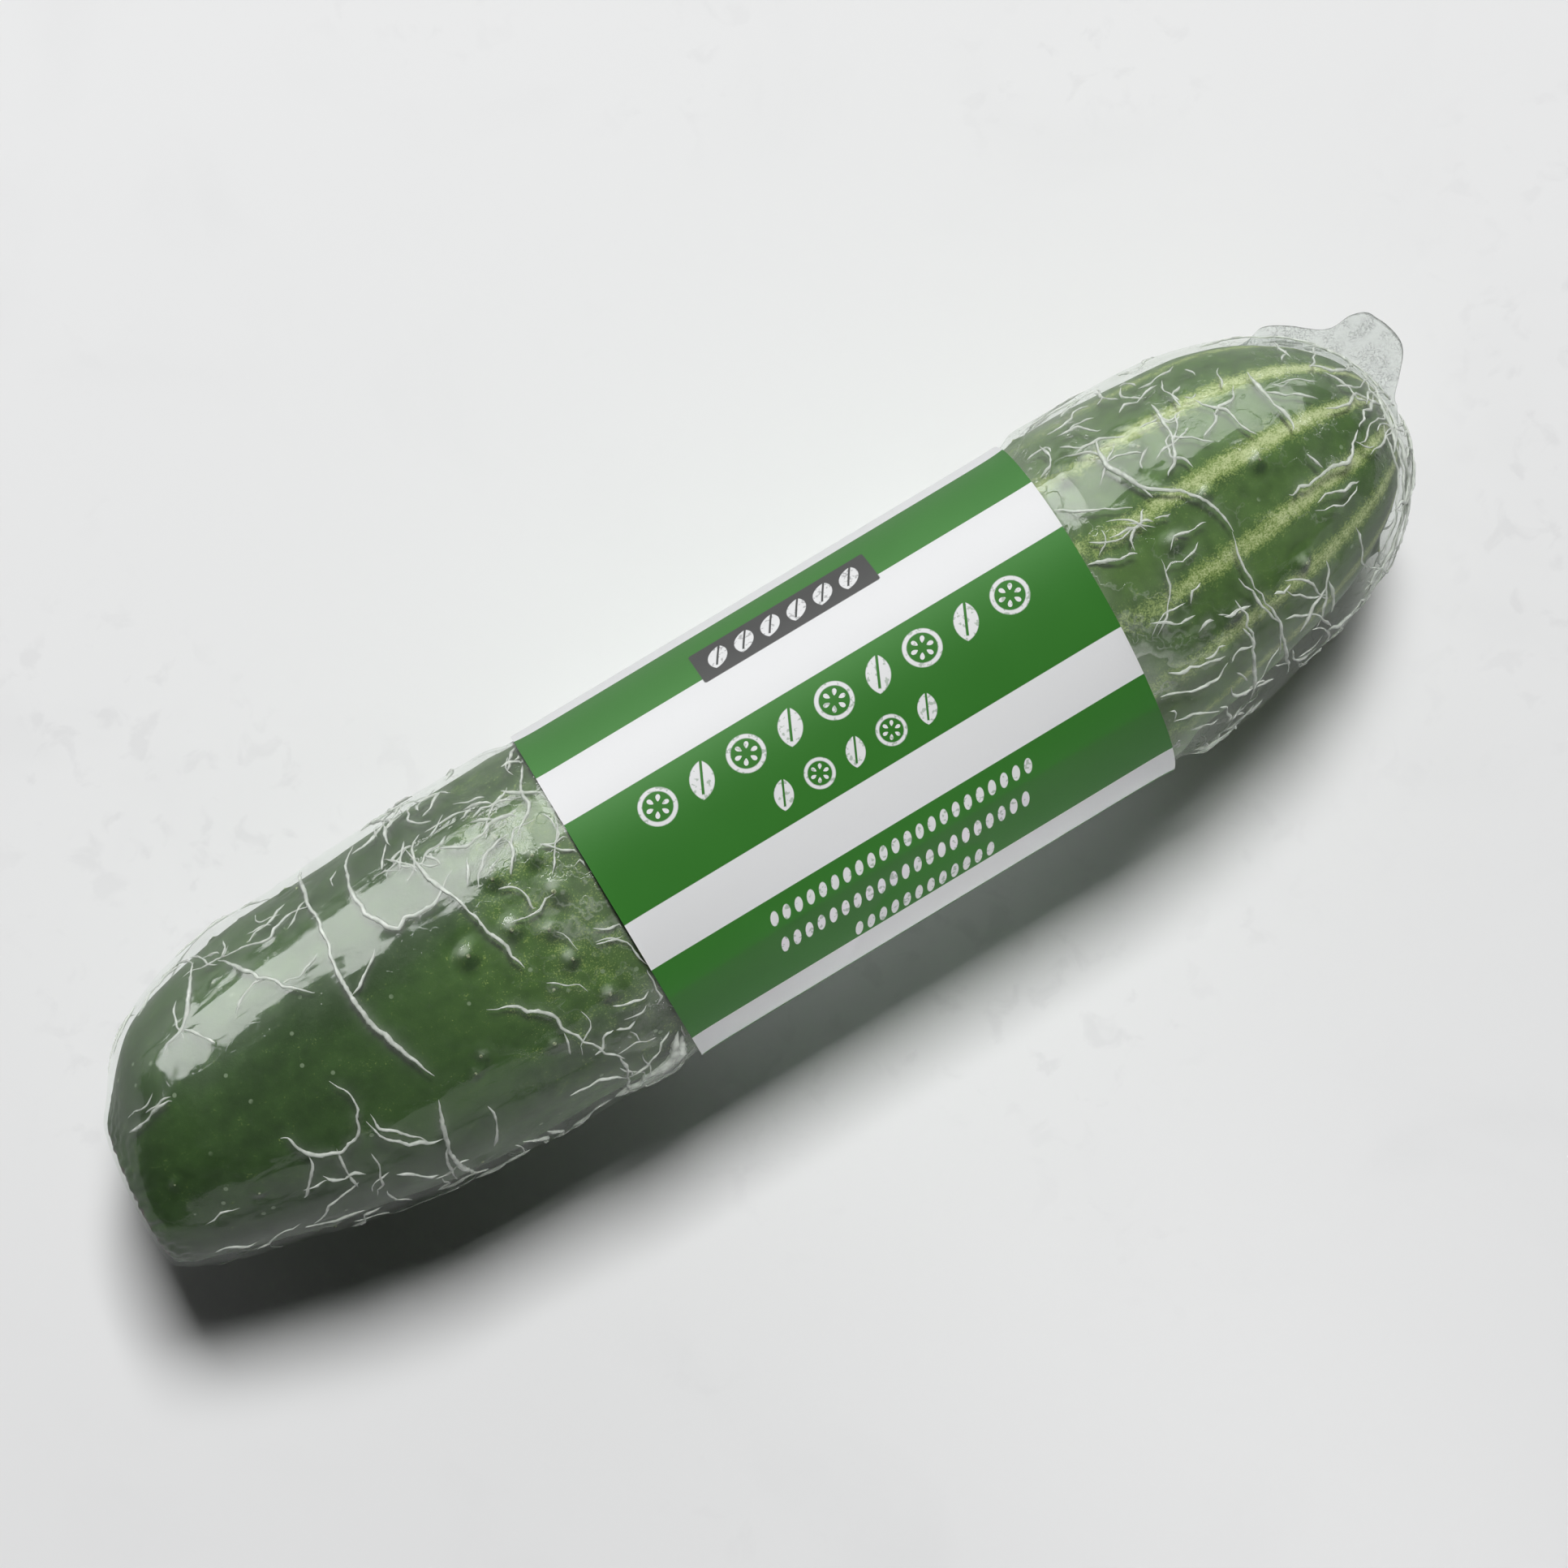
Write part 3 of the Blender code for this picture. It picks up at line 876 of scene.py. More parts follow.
def baked(
    base: bpy.types.Object, tree: bpy.types.NodeTree, values: dict[str, Any], material: bpy.types.Material
) -> bpy.types.Object:
    """Run a Geometry Nodes tree on an object and keep the result as a plain mesh.

    Args:
        base: The object that the tree reads. It is removed afterwards.
        tree: The tree.
        values: The modifier's inputs, by identifier.
        material: The finish that the tree sets.

    Returns:
        A new object with the finished mesh.
    """
    name = base.name
    modifier = base.modifiers.new("build", "NODES")
    modifier.node_group = tree
    for identifier, value in values.items():
        modifier[identifier] = value
    graph = bpy.context.evaluated_depsgraph_get()
    mesh = bpy.data.meshes.new_from_object(base.evaluated_get(graph), depsgraph=graph)
    bpy.data.objects.remove(base, do_unlink=True)
    mesh.name = name
    mesh.materials.clear()
    mesh.materials.append(material)
    mesh.shade_smooth()
    piece = bpy.data.objects.new(name, mesh)
    bpy.context.scene.collection.objects.link(piece)
    LOG.info("%s: %d faces", name, len(mesh.polygons))
    return piece


def close_tree(tree: bpy.types.NodeTree, geometry: bpy.types.NodeSocket, material: bpy.types.Material) -> None:
    """End a tree with Realize Instances and Set Material."""
    real = tree_node(tree, "GeometryNodeRealizeInstances", inputs={"Geometry": geometry})
    painted = tree_node(
        tree, "GeometryNodeSetMaterial", inputs={"Geometry": real.outputs[0], "Material": material}
    )
    tree_node(tree, "NodeGroupOutput", inputs={0: painted.outputs[0]})


def scatter(
    name: str, seats: np.ndarray, ups: np.ndarray, sizes: np.ndarray, material: bpy.types.Material
) -> bpy.types.Object:
    """Set one small button on each seat, its axis along the seat's own direction."""
    mesh = bpy.data.meshes.new(name)
    mesh.from_pydata(seats.tolist(), [], [])
    add_numbers(mesh, "size", sizes)
    layer = mesh.attributes.new("up", "FLOAT_VECTOR", "POINT")
    layer.data.foreach_set("vector", ups.astype(np.float32).ravel())
    base = bpy.data.objects.new(name, mesh)
    bpy.context.scene.collection.objects.link(base)
    flatness, segments = 0.8, 10
    tree, ids = new_tree(name, (("Flatness", "NodeSocketFloat", flatness), ("Segments", "NodeSocketInt", segments)))
    given = tree_node(tree, "NodeGroupInput")
    button = tree_node(
        tree,
        "GeometryNodeMeshUVSphere",
        inputs={"Segments": given.outputs["Segments"], "Rings": 6, "Radius": 1.0},
    )
    size = tree_node(tree, "GeometryNodeInputNamedAttribute", {"data_type": "FLOAT"}, {"Name": "size"})
    up = tree_node(tree, "GeometryNodeInputNamedAttribute", {"data_type": "FLOAT_VECTOR"}, {"Name": "up"})
    turn = tree_node(tree, "FunctionNodeAlignRotationToVector", {"axis": "Z"}, {"Vector": up.outputs[0]})
    squash = tree_node(tree, "ShaderNodeCombineXYZ", inputs={0: 1.0, 1: 1.0, 2: given.outputs["Flatness"]})
    scale = tree_node(
        tree, "ShaderNodeVectorMath", {"operation": "SCALE"}, {0: squash.outputs[0], "Scale": size.outputs[0]}
    )
    points = tree_node(tree, "GeometryNodeMeshToPoints", inputs={"Mesh": given.outputs["Geometry"]})
    placed = tree_node(
        tree,
        "GeometryNodeInstanceOnPoints",
        inputs={
            "Points": points.outputs[0],
            "Instance": button.outputs["Mesh"],
            "Rotation": turn.outputs[0],
            "Scale": scale.outputs[0],
        },
    )
    close_tree(tree, placed.outputs[0], material)
    return baked(base, tree, {ids["Flatness"]: flatness, ids["Segments"]: segments}, material)


# --------------------------------------------------------------------------- the film


@dataclass(frozen=True)
class Crease:
    """A fold of the film, as places along it.

    Attributes:
        path: X in millimetres and angle in degrees of each place.
        strength: Thickness of the fold, where 1 is a strong one.
    """

    path: tuple[tuple[float, float], ...]
    strength: float = 1.0


@dataclass(frozen=True)
class CreaseField:
    """An area that short seeded folds cover.

    Attributes:
        x: Range along the fruit in millimetres.
        angle: Range of angles in degrees.
        count: Number of folds.
        length: Range of their lengths in millimetres.
        strength: Range of their strengths.
        heading: Their usual direction in degrees, where 0 is along the fruit.
        spread: How far they turn from it, in degrees.
    """

    x: tuple[float, float]
    angle: tuple[float, float]
    count: int
    length: tuple[float, float]
    strength: tuple[float, float]
    heading: float = 0.0
    spread: float = 180.0


PLACED_CREASES: tuple[Crease, ...] = (
    Crease(
        ((-64.5, -80), (-65, -51), (-65, -37), (-66, -25), (-66, -14), (-65.5, -4), (-64.5, 5), (-63, 15), (-62, 21)),
        1.25,
    ),
    Crease(((-66, -14), (-62, -19), (-60, -23)), 0.7),
    Crease(((-56, -69), (-58, -59), (-59, -49), (-59, -39), (-57, -27), (-54, -25), (-49.5, -26), (-46, -33)), 1.1),
    Crease(((-50, -50), (-49, -35), (-47.5, -25), (-46, -12), (-45, -3), (-44, 6)), 1.0),
    Crease(((-83, -63), (-85.5, -47), (-87.5, -39), (-92, -34)), 1.0),
    Crease(((-88, -37), (-86.5, -31), (-85, -24)), 0.8),
    Crease(((-79.5, -54), (-77, -42), (-75, -35), (-73.5, -30), (-70, -21)), 1.0),
    Crease(((-73.5, -30), (-70, -29), (-67, -32)), 0.6),
    Crease(((-75, -35), (-79, -32), (-81, -27)), 0.6),
    Crease(((-79.5, -54), (-77, -53), (-72, -48), (-68.5, -53), (-65, -51)), 0.7),
    Crease(((-102, -22), (-98, -20), (-94, -16)), 0.8),
    Crease(((-74.5, 7), (-73, 13), (-73.5, 20), (-75, 27), (-78, 30), (-82, 27), (-83, 19), (-84, 17)), 0.9),
    Crease(((-82, 27), (-82.5, 33), (-86, 43)), 0.8),
    Crease(((-78.5, 29), (-79, 40), (-79, 48)), 0.7),
    Crease(((-73, 24), (-72, 33), (-69, 39), (-65.5, 43)), 0.8),
    Crease(((-63, 29), (-64.5, 36), (-65.5, 47), (-66, 59), (-64.5, 74)), 1.2),
    Crease(((-65.5, 47), (-67, 54), (-67.5, 70)), 0.9),
    Crease(((-58, 40), (-58.5, 49), (-60.5, 60)), 0.7),
    Crease(((-51.5, 12), (-47, 16), (-44.5, 23), (-44, 30), (-41, 42), (-39, 52)), 0.8),
    Crease(((-44, 30), (-45, 38)), 0.6),
    Crease(((-78.5, 46), (-83, 52), (-87, 60)), 0.6),
    Crease(((-48, 53), (-43, 55), (-40, 63)), 0.7),
    Crease(((-39.5, 49), (-40, 62), (-41, 76)), 0.8),
    Crease(((-40, 63), (-36, 60), (-32, 53)), 0.7),
    Crease(((-34, -24), (-32, -20), (-30, -16)), 0.7),
    Crease(((-49.5, -53), (-52, -43)), 0.7),
    Crease(((-52, -57), (-54, -47)), 0.6),
    Crease(((-68, -60), (-71.5, -55), (-75, -53)), 0.6),
    Crease(((-34, -39), (-39, -38), (-42.5, -37), (-46, -43)), 0.9),
    Crease(((-30, -57), (-32, -49), (-33, -36), (-36, -30)), 0.9),
    Crease(((60, -46), (59, -35), (60.5, -25), (61.5, -21), (66.5, -10), (68, -2), (68.5, 6)), 1.15),
    Crease(((68.5, 6), (67.4, 15), (67.6, 27), (68.5, 42), (66.8, 55)), 0.6),
    Crease(((60.5, -25), (61.5, -17)), 0.7),
    Crease(((69, -47), (69, -36), (67.5, -25), (65, -20)), 0.9),
    Crease(((68, -31), (71, -27), (73, -22)), 0.6),
    Crease(((83, -44), (83, -29), (83.5, -16), (83, -12)), 0.9),
    Crease(((83, -31), (87, -25), (89, -20)), 0.6),
    Crease(((75, -36), (77, -30), (77.5, -21), (78.5, -17)), 0.8),
    Crease(((91.5, 0), (88.5, 7), (85, 8), (79.5, 7), (78, 6)), 1.0),
    Crease(((83, -2), (84, 6)), 0.6),
    Crease(((81, 14), (84, 17), (87.5, 18)), 0.8),
    Crease(((80, 17), (84, 21), (87, 20)), 0.5),
    Crease(((49.5, -32), (54, -23), (58.5, -18)), 0.7),
    Crease(((49, -10), (52, -8), (55.5, -5)), 0.9),
    Crease(((51, -16), (54, -12), (57.5, -12)), 0.6),
    Crease(((51.5, 32), (56, 35), (59.5, 38)), 0.9),
    Crease(((66, 19), (67, 31), (68.5, 42), (68, 53), (67.5, 70)), 0.8),
    Crease(((64, 24), (64, 37), (62.5, 53), (61, 66)), 0.8),
    Crease(((49, 39), (52.5, 41), (56, 44), (59.5, 41)), 0.7),
    Crease(((69.5, 42), (73.5, 49), (76, 66)), 0.7),
    Crease(((77, 41), (76, 50), (73.5, 57)), 0.6),
    Crease(((49.5, 52), (53, 52), (56, 58)), 0.6),
    Crease(((52.5, 19), (56.5, 11), (58, 0)), 0.5),
    Crease(((99.0, -60), (98.6, -20), (97.6, 15), (95.5, 45), (91.5, 70), (86, 84)), 0.9),
    Crease(((98.0, -35), (97.2, 5), (95.0, 35), (92, 56), (87.5, 72)), 0.7),
    Crease(((96.0, 5), (94.2, 30), (91.0, 47), (87.0, 60)), 0.5),
    Crease(((98.8, -80), (97.0, -44), (94.5, -36), (91, -40)), 0.7),
    Crease(((97.5, -15), (94.5, -16), (91.5, -13), (89, -15)), 0.8),
    Crease(((98.5, 0), (96.5, -8), (94.5, -6), (92, 0)), 0.9),
    Crease(((99.2, -50), (97.5, -28), (95, -22), (92.5, -24)), 0.6),
    Crease(((99.5, 60), (98.2, 85), (95, 95), (89, 96)), 0.8),
    Crease(((-31, 56), (-33, 64), (-37, 70), (-43, 73)), 1.9),
    Crease(((-31, 66), (-34, 71), (-39, 77)), 1.3),
    Crease(((-30.6, 60), (-32.5, 66), (-36, 70)), 2.6),
)

SEEDED_CREASES: tuple[CreaseField, ...] = (
    CreaseField((-52, -30), (-75, -30), 40, (2.5, 9), (0.4, 0.9)),
    CreaseField((-44, -30), (-30, 85), 34, (2, 9), (0.3, 0.65), 15, 45),
    CreaseField((-92, -46), (-80, -50), 14, (3, 9), (0.35, 0.65)),
    CreaseField((-90, -50), (40, 88), 22, (3, 10), (0.35, 0.75)),
    CreaseField((49, 62), (-70, 85), 38, (2, 8), (0.35, 0.75), 0, 35),
    CreaseField((60, 90), (-75, -25), 30, (2, 8), (0.35, 0.75)),
    CreaseField((58, 92), (20, 72), 26, (3, 11), (0.35, 0.8), 60, 50),
    CreaseField((90, 99.5), (-180, 180), 54, (3, 9), (0.35, 0.8), 0, 30),
    CreaseField((-104, -32), (95, 270), 74, (4, 14), (0.35, 0.8)),
    CreaseField((49, 96), (85, 270), 56, (4, 14), (0.3, 0.65), 0, 40),
    CreaseField((-106, -98), (-180, 180), 20, (3, 7), (0.3, 0.6), 0, 30),
)


@dataclass
class CreaseNetwork:
    """All folds of the film as paths on its outer face."""

    form: FruitForm
    seed: int = 5
    step: float = 0.45 * MM
    paths: list[np.ndarray] = field(default_factory=list)
    weights: list[np.ndarray] = field(default_factory=list)

    def build(self) -> None:
        """Lay out the placed folds, then the seeded ones."""
        draw = np.random.default_rng(self.seed)
        for crease in PLACED_CREASES:
            self.lay(np.array(crease.path, float), crease.strength, draw)
        for area in SEEDED_CREASES:
            for _ in range(area.count):
                self.lay(self.walk(area, draw), draw.uniform(*area.strength), draw)
        LOG.info("%d folds laid out", len(self.paths))

    def walk(self, area: CreaseField, draw: np.random.Generator) -> np.ndarray:
        """A short wandering path inside an area, as millimetres and degrees."""
        x, angle = draw.uniform(*area.x), draw.uniform(*area.angle)
        heading = math.radians(area.heading + draw.uniform(-area.spread, area.spread))
        length = draw.uniform(*area.length)
        places = [(x, angle)]
        for _ in range(4):
            heading += draw.normal(0, 0.45)
            radius = max(float(self.form.outline(np.array([x * MM]))[0][0]) / MM, 6.0)
            x += math.cos(heading) * length / 4
            angle += math.degrees(math.sin(heading) * length / 4 / radius)
            places.append((x, angle))
        return np.array(places)

    def lay(self, path: np.ndarray, strength: float, draw: np.random.Generator) -> None:
        """Turn one path into close points on the film, thinning towards its ends."""
        form = self.form
        curve = smooth_curve(path, 4)
        x = np.clip(curve[:, 0] * MM, form.stem_face_x + 0.8 * MM, form.tip_x - 0.3 * MM)
        inside = form.outside(x) < 0.4 * MM
        x = np.where(inside & (x < 0), form.sleeve_start - 0.4 * MM, x)
        x = np.where(inside & (x > 0), form.sleeve_end + 0.4 * MM, x)
        points = form.on_film(x, np.radians(curve[:, 1]))
        reach = np.concatenate([[0], np.cumsum(np.linalg.norm(np.diff(points, axis=0), axis=1))])
        count = max(int(reach[-1] / self.step), 4)
        wanted = np.linspace(0, reach[-1], count)
        points = np.stack([np.interp(wanted, reach, points[:, k]) for k in range(3)], 1)
        sideways = np.cross(np.gradient(points, axis=0), points - [0, 0, form.axis_height])
        sideways /= np.maximum(np.linalg.norm(sideways, axis=1, keepdims=True), 1e-9)
        knots = np.arange(0, count + 3, 3)
        kinks = np.interp(np.arange(count), knots, draw.normal(0, 0.32, count // 3 + 2)[: len(knots)])
        points = points + sideways * (kinks * min(1.0, reach[-1] / (6 * MM)) * MM)[:, None]
        along = np.linspace(0, 1, count)
        taper = np.clip(np.minimum(along, 1 - along) * 5, 0.0, 1.0) ** 0.7
        uneven = 1 + 0.30 * np.sin(along * draw.uniform(5, 14) + draw.uniform(0, 6))
        uneven += draw.uniform(-0.25, 0.25, count)
        self.paths.append(points)
        self.weights.append(strength * uneven * (0.12 + 0.88 * taper))


@dataclass(frozen=True)
class FilmFinish:
    """Clear shrink film: almost invisible face on, bright where it mirrors, milky where it is creased."""

    milk: tuple[float, float, float] = (0.60, 0.64, 0.58)
    clear_haze: float = 0.010
    mirror_limit: float = 0.052

    def build(self) -> bpy.types.Material:
        """Make the material of the outer face."""
        g = Graph("shrink_film")
        place = g.position()
        crease, haze = g.attribute("crease"), g.attribute("haze")
        crinkle = g.noise(place, 300.0, 1.0, 1.0)
        fine = g.noise(place, 1800.0, 2.0)
        shaken = place + g.blend(0.004, (0, 0, 0), g.noise(place, 500.0, 2.0))
        facets = g.cells(shaken, 230.0, "DISTANCE_TO_EDGE")
        folds = facets.step(0.05, 0.0)
        streaks = g.noise(g.stretched(place, (0.16, 1.0, 1.0)), 330.0, 1.0, 0.6)
        height = crinkle * (haze * 0.6 + 0.15) + folds * (haze * 0.5 + 0.04) + streaks * 1.1
        normal = g.bump(height, 0.30 * MM, 0.5)
        mirror = g.principled(
            {
                "Base Color": (0.95, 0.97, 0.95, 1.0),
                "Metallic": 1.0,
                "Roughness": fine * 0.10 + 0.07,
                "Normal": normal,
            }
        )
        facing = g.node("ShaderNodeFresnel", inputs={"IOR": 1.52, "Normal": normal})
        clear = g.node("ShaderNodeBsdfTransparent", inputs={"Color": (0.98, 0.99, 0.98, 1.0)})
        film = g.mix_shaders((facing * 1.05).math("MINIMUM", self.mirror_limit), clear, mirror)
        milky = g.principled({"Base Color": (*self.milk, 1.0), "Roughness": fine * 0.2 + 0.3, "Normal": normal})
        share = (crease * 0.16 + folds * haze * 0.28 + haze * haze * 0.19 + self.clear_haze).math("MINIMUM", 0.9)
        return g.finish(g.mix_shaders(share, film, milky))

    def inner(self) -> bpy.types.Material:
        """Make the material of the inner face, which lies against the fruit."""
        g = Graph("shrink_film_inside")
        clear = g.node("ShaderNodeBsdfTransparent", inputs={"Color": (0.99, 0.995, 0.99, 1.0)})
        speck = g.noise(g.position(), 900.0, 2.0)
        milky = g.principled({"Base Color": (*self.milk, 1.0), "Roughness": 0.3})
        return g.finish(g.mix_shaders(speck.step(0.60, 0.80) * 0.02 + 0.003, clear, milky))


@dataclass(frozen=True)
class RidgeFinish:
    """The folded film of a crease: milky, glossy and half clear."""

    colour: tuple[float, float, float] = (0.72, 0.76, 0.70)

    def build(self) -> bpy.types.Material:
        """Make the material."""
        g = Graph("film_crease")
        patch = g.noise(g.position(), 600.0, 2.0)
        clear = g.node("ShaderNodeBsdfTransparent")
        milky = g.principled({"Base Color": (*self.colour, 1.0), "Roughness": patch * 0.2 + 0.15})
        return g.finish(g.mix_shaders(patch.step(0.25, 0.75) * 0.36 + 0.40, clear, milky))


@dataclass(frozen=True)
class TailFinish:
    """Crinkled double film of the tail."""

    milk: tuple[float, float, float] = (0.62, 0.66, 0.62)
    shade: tuple[float, float, float] = (0.30, 0.32, 0.30)

    def build(self) -> bpy.types.Material:
        """Make the material."""
        g = Graph("film_tail")
        place = g.position()
        rim = g.attribute("rim")
        crinkle = g.noise(place, 700.0, 4.0, 2.5)
        blot = g.noise(place, 220.0, 3.0, 1.0)
        veins = (crinkle - 0.5).math("ABSOLUTE").step(0.05, 0.0)
        normal = g.bump(crinkle + veins * 0.4, 0.35 * MM, 0.8)
        clear = g.node("ShaderNodeBsdfTransparent", inputs={"Color": (0.93, 0.945, 0.935, 1.0)})
        colour = g.blend(veins * blot.step(0.40, 0.60), self.milk, self.shade)
        colour = g.blend(rim.step(0.55, 1.0), colour, self.shade)
        milky = g.principled({"Base Color": colour, "Roughness": crinkle * 0.3 + 0.1, "Normal": normal})
        share = (veins * blot.step(0.40, 0.60) * 0.30 + rim.step(0.55, 1.0) * 0.55 + 0.14).math("MINIMUM", 0.85)
        return g.finish(g.mix_shaders(share, clear, milky))


@dataclass
class Film:
    """The shrink film: its wrap with raised creases, the sharp folds on it and the tail."""

    form: FruitForm
    fruit: Fruit
    sides: int = 320
    inner_share: int = 4
    wall: float = 0.06 * MM
    floor_gap: float = 0.05 * MM
    eye_radius: float = 4.5 * MM
    spacing: tuple[float, float] = (0.62 * MM, 3.0 * MM)
    inner_spacing: tuple[float, float] = (1.5 * MM, 6.0 * MM)
    tent_height: float = 0.20 * MM
    tent_width: float = 0.60 * MM
    ridge_radius: float = 0.28 * MM
    wart_share: float = 0.32
    tail_start: float = 85.5 * MM
    tail_rows: int = 16
    tail_half: float = 0.11 * MM
    network: CreaseNetwork = field(init=False)
    surface: BVHTree = field(init=False)

    def __post_init__(self) -> None:
        """Prepare the folds."""
        self.network = CreaseNetwork(self.form)

    def build(self) -> None:
        """Make every piece of the film."""
        self.network.build()
        self.build_wrap()
        self.build_ridges()
        self.build_tail()

    def wall_grid(self, depth: float, sides: int, spacing: tuple[float, float]) -> tuple[np.ndarray, ...]:
        """One wall of the film, from the tip to the lip of its eye.

        Returns:
            Its points, their normals and angles, then for each ring the x that it belongs to, its x and radius.
        """
        face = [(8.2 * MM, 0.0), (6.5 * MM, 0.0), (self.eye_radius, 0.0)]
        x, radius, belongs = self.form.meridian(depth, 1.0, face, spacing)
        angle = np.arange(sides) * 2 * math.pi / sides
        grid = self.form.rings(x, radius, belongs, angle)
        return grid, grid_normals(grid), angle, belongs, x, radius

    def tents(self, grid: np.ndarray) -> np.ndarray:
        """How far the folds pull the film up, as a share of a strong fold's height."""
        samples = np.concatenate(self.network.paths)
        weights = np.concatenate(self.network.weights)
        tree = KDTree(len(samples))
        for i, point in enumerate(samples):
            tree.insert(point, i)
        tree.balance()
        lift = np.zeros(grid.shape[:2])
        reach = 5 * self.tent_width
        for i, ring in enumerate(grid):
            for j, point in enumerate(ring):
                _, index, distance = tree.find(point)
                if distance < reach:
                    lift[i, j] = weights[index] * math.exp(-distance / self.tent_width)
        return lift

    def build_wrap(self) -> None:
        """The wrap: a thin closed wall with an open eye at the stem."""
        form = self.form
        outer, normals, angle, belongs, x, radius = self.wall_grid(0.0, self.sides, self.spacing)
        inner_sides = self.sides // self.inner_share
        inner = self.wall_grid(self.wall, inner_sides, self.inner_spacing)[0][::-1]
        tents = self.tents(outer)
        open_share = eased((form.outside(belongs) - 0.8 * MM) / (2.5 * MM))[:, None]
        face_share = eased((belongs - form.stem_face_x) / (3 * MM))[:, None]
        warts, pale, _ = self.fruit.wart_field(x[:, None], angle[None, :], radius[:, None])
        billow = np.maximum(1 + Waves(17 * MM, 21).at(outer), 0.0) * 0.15 * MM
        pucker = np.abs(Waves(6 * MM, 22).at(outer)) * 0.05 * MM
        lift = tents * self.tent_height + np.maximum(warts, 0) * self.wart_share + billow + pucker
        outer = outer + normals * (lift * open_share * face_share)[..., None]
        outer[..., 2] = np.maximum(outer[..., 2], self.floor_gap)
        rings, sides = outer.shape[:2]
        inner_rings = inner.shape[0]
        first_inner = rings * sides
        tip = first_inner + inner_rings * inner_sides
        inner_tip = tip + 1
        faces: list[Sequence[int]] = [f[::-1] for f in fan_faces(0, sides, tip)]
        for k in range(rings - 1):
            faces += ring_faces(k * sides, (k + 1) * sides, sides)
        outer_count = len(faces)
        wall = [f for f in faces if len(f) == 4]
        self.surface = BVHTree.FromPolygons(outer.reshape(-1, 3).tolist(), wall)
        lip = (rings - 1) * sides
        for j in range(inner_sides):
            span = [lip + (j * self.inner_share + i) % sides for i in range(self.inner_share + 1)]
            faces.append([*span, first_inner + (j + 1) % inner_sides, first_inner + j])
        for k in range(inner_rings - 1):
            start = first_inner + k * inner_sides
            faces += ring_faces(start, start + inner_sides, inner_sides)
        faces += fan_faces(first_inner + (inner_rings - 1) * inner_sides, inner_sides, inner_tip)
        ends = [outer[0].mean(axis=0) + np.array([0.02 * MM, 0, 0]), inner[-1].mean(axis=0)]
        points = np.concatenate([outer.reshape(-1, 3), inner.reshape(-1, 3), ends])
        mesh = make_mesh("film_wrap", points, faces)
        rest = np.zeros(len(points) - rings * sides)
        milky = np.clip(tents + 0.7 * pale, 0, 1) * open_share
        add_numbers(mesh, "crease", np.concatenate([milky.ravel(), rest]))
        scuffed = np.maximum(self.haze(belongs, angle, outer), 0.8 * pale * open_share)
        add_numbers(mesh, "haze", np.concatenate([scuffed.ravel(), rest]))
        finish = FilmFinish()
        piece = add_piece(mesh, [finish.build(), finish.inner()])
        inside = np.zeros(len(mesh.polygons), np.int32)
        inside[outer_count:] = 1
        mesh.polygons.foreach_set("material_index", inside)
        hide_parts("shrink_film")

    def haze(self, x: np.ndarray, angle: np.ndarray, grid: np.ndarray) -> np.ndarray:
        """Where the film is milky: beside the sleeve, along the lower side and round the blossom end."""
        x, turn = x[:, None], wrapped(angle)[None, :]
        beside = np.exp(-np.maximum(self.form.outside(x), 0) / (9 * MM))
        blossom = 0.40 * eased((x - 55 * MM) / (35 * MM)) + 0.6 * eased((x - 93 * MM) / (6 * MM))
        low = 0.25 * eased((turn - 1.0) / 0.5) + 0.30 * eased((-turn - 1.0) / 0.5) * (x > 0)
        upper = 0.45 * eased((-turn - 0.35) / 0.5) * eased((78 * MM - x) / (22 * MM)) * (x > 0)
        patches = 0.5 + 0.5 * np.clip(Waves(14 * MM, 31).at(grid), -1, 1)
        return np.clip((beside + blossom + low + upper) * (0.35 + 0.75 * patches), 0, 1)

    def build_ridges(self) -> None:
        """Sharp folds that stand on the wrap, swept along their paths."""
        curve = bpy.data.curves.new("film_creases", "CURVE")
        curve.dimensions = "3D"
        for points, weights in zip(self.network.paths, self.network.weights):
            spline = curve.splines.new("POLY")
            spline.points.add(len(points) - 1)
            seats = [self.surface.find_nearest(Vector(point))[0] for point in points]
            raised = np.array([list(seat) for seat in seats])
            raised[:, 2] = np.maximum(raised[:, 2], self.ridge_radius * 1.5)
            spline.points.foreach_set("co", np.column_stack([raised, np.ones(len(points))]).ravel())
            spline.points.foreach_set("radius", weights.astype(np.float32))
        base = bpy.data.objects.new("film_creases", curve)
        bpy.context.scene.collection.objects.link(base)
        material = RidgeFinish().build()
        tree, ids = new_tree(
            "film_creases", (("Fold Radius", "NodeSocketFloat", self.ridge_radius), ("Sides", "NodeSocketInt", 5))
        )
        given = tree_node(tree, "NodeGroupInput")
        profile = tree_node(
            tree,
            "GeometryNodeCurvePrimitiveCircle",
            inputs={"Resolution": given.outputs["Sides"], "Radius": given.outputs["Fold Radius"]},
        )
        swept = tree_node(
            tree,
            "GeometryNodeCurveToMesh",
            inputs={"Curve": given.outputs["Geometry"], "Profile Curve": profile.outputs[0], "Fill Caps": True},
        )
        if "Scale" in swept.inputs:
            width = tree_node(tree, "GeometryNodeInputRadius")
            tree.links.new(width.outputs[0], swept.inputs["Scale"])
        close_tree(tree, swept.outputs[0], material)
        piece = baked(base, tree, {ids["Fold Radius"]: self.ridge_radius, ids["Sides"]: 5}, material)
        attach(piece, BODY)

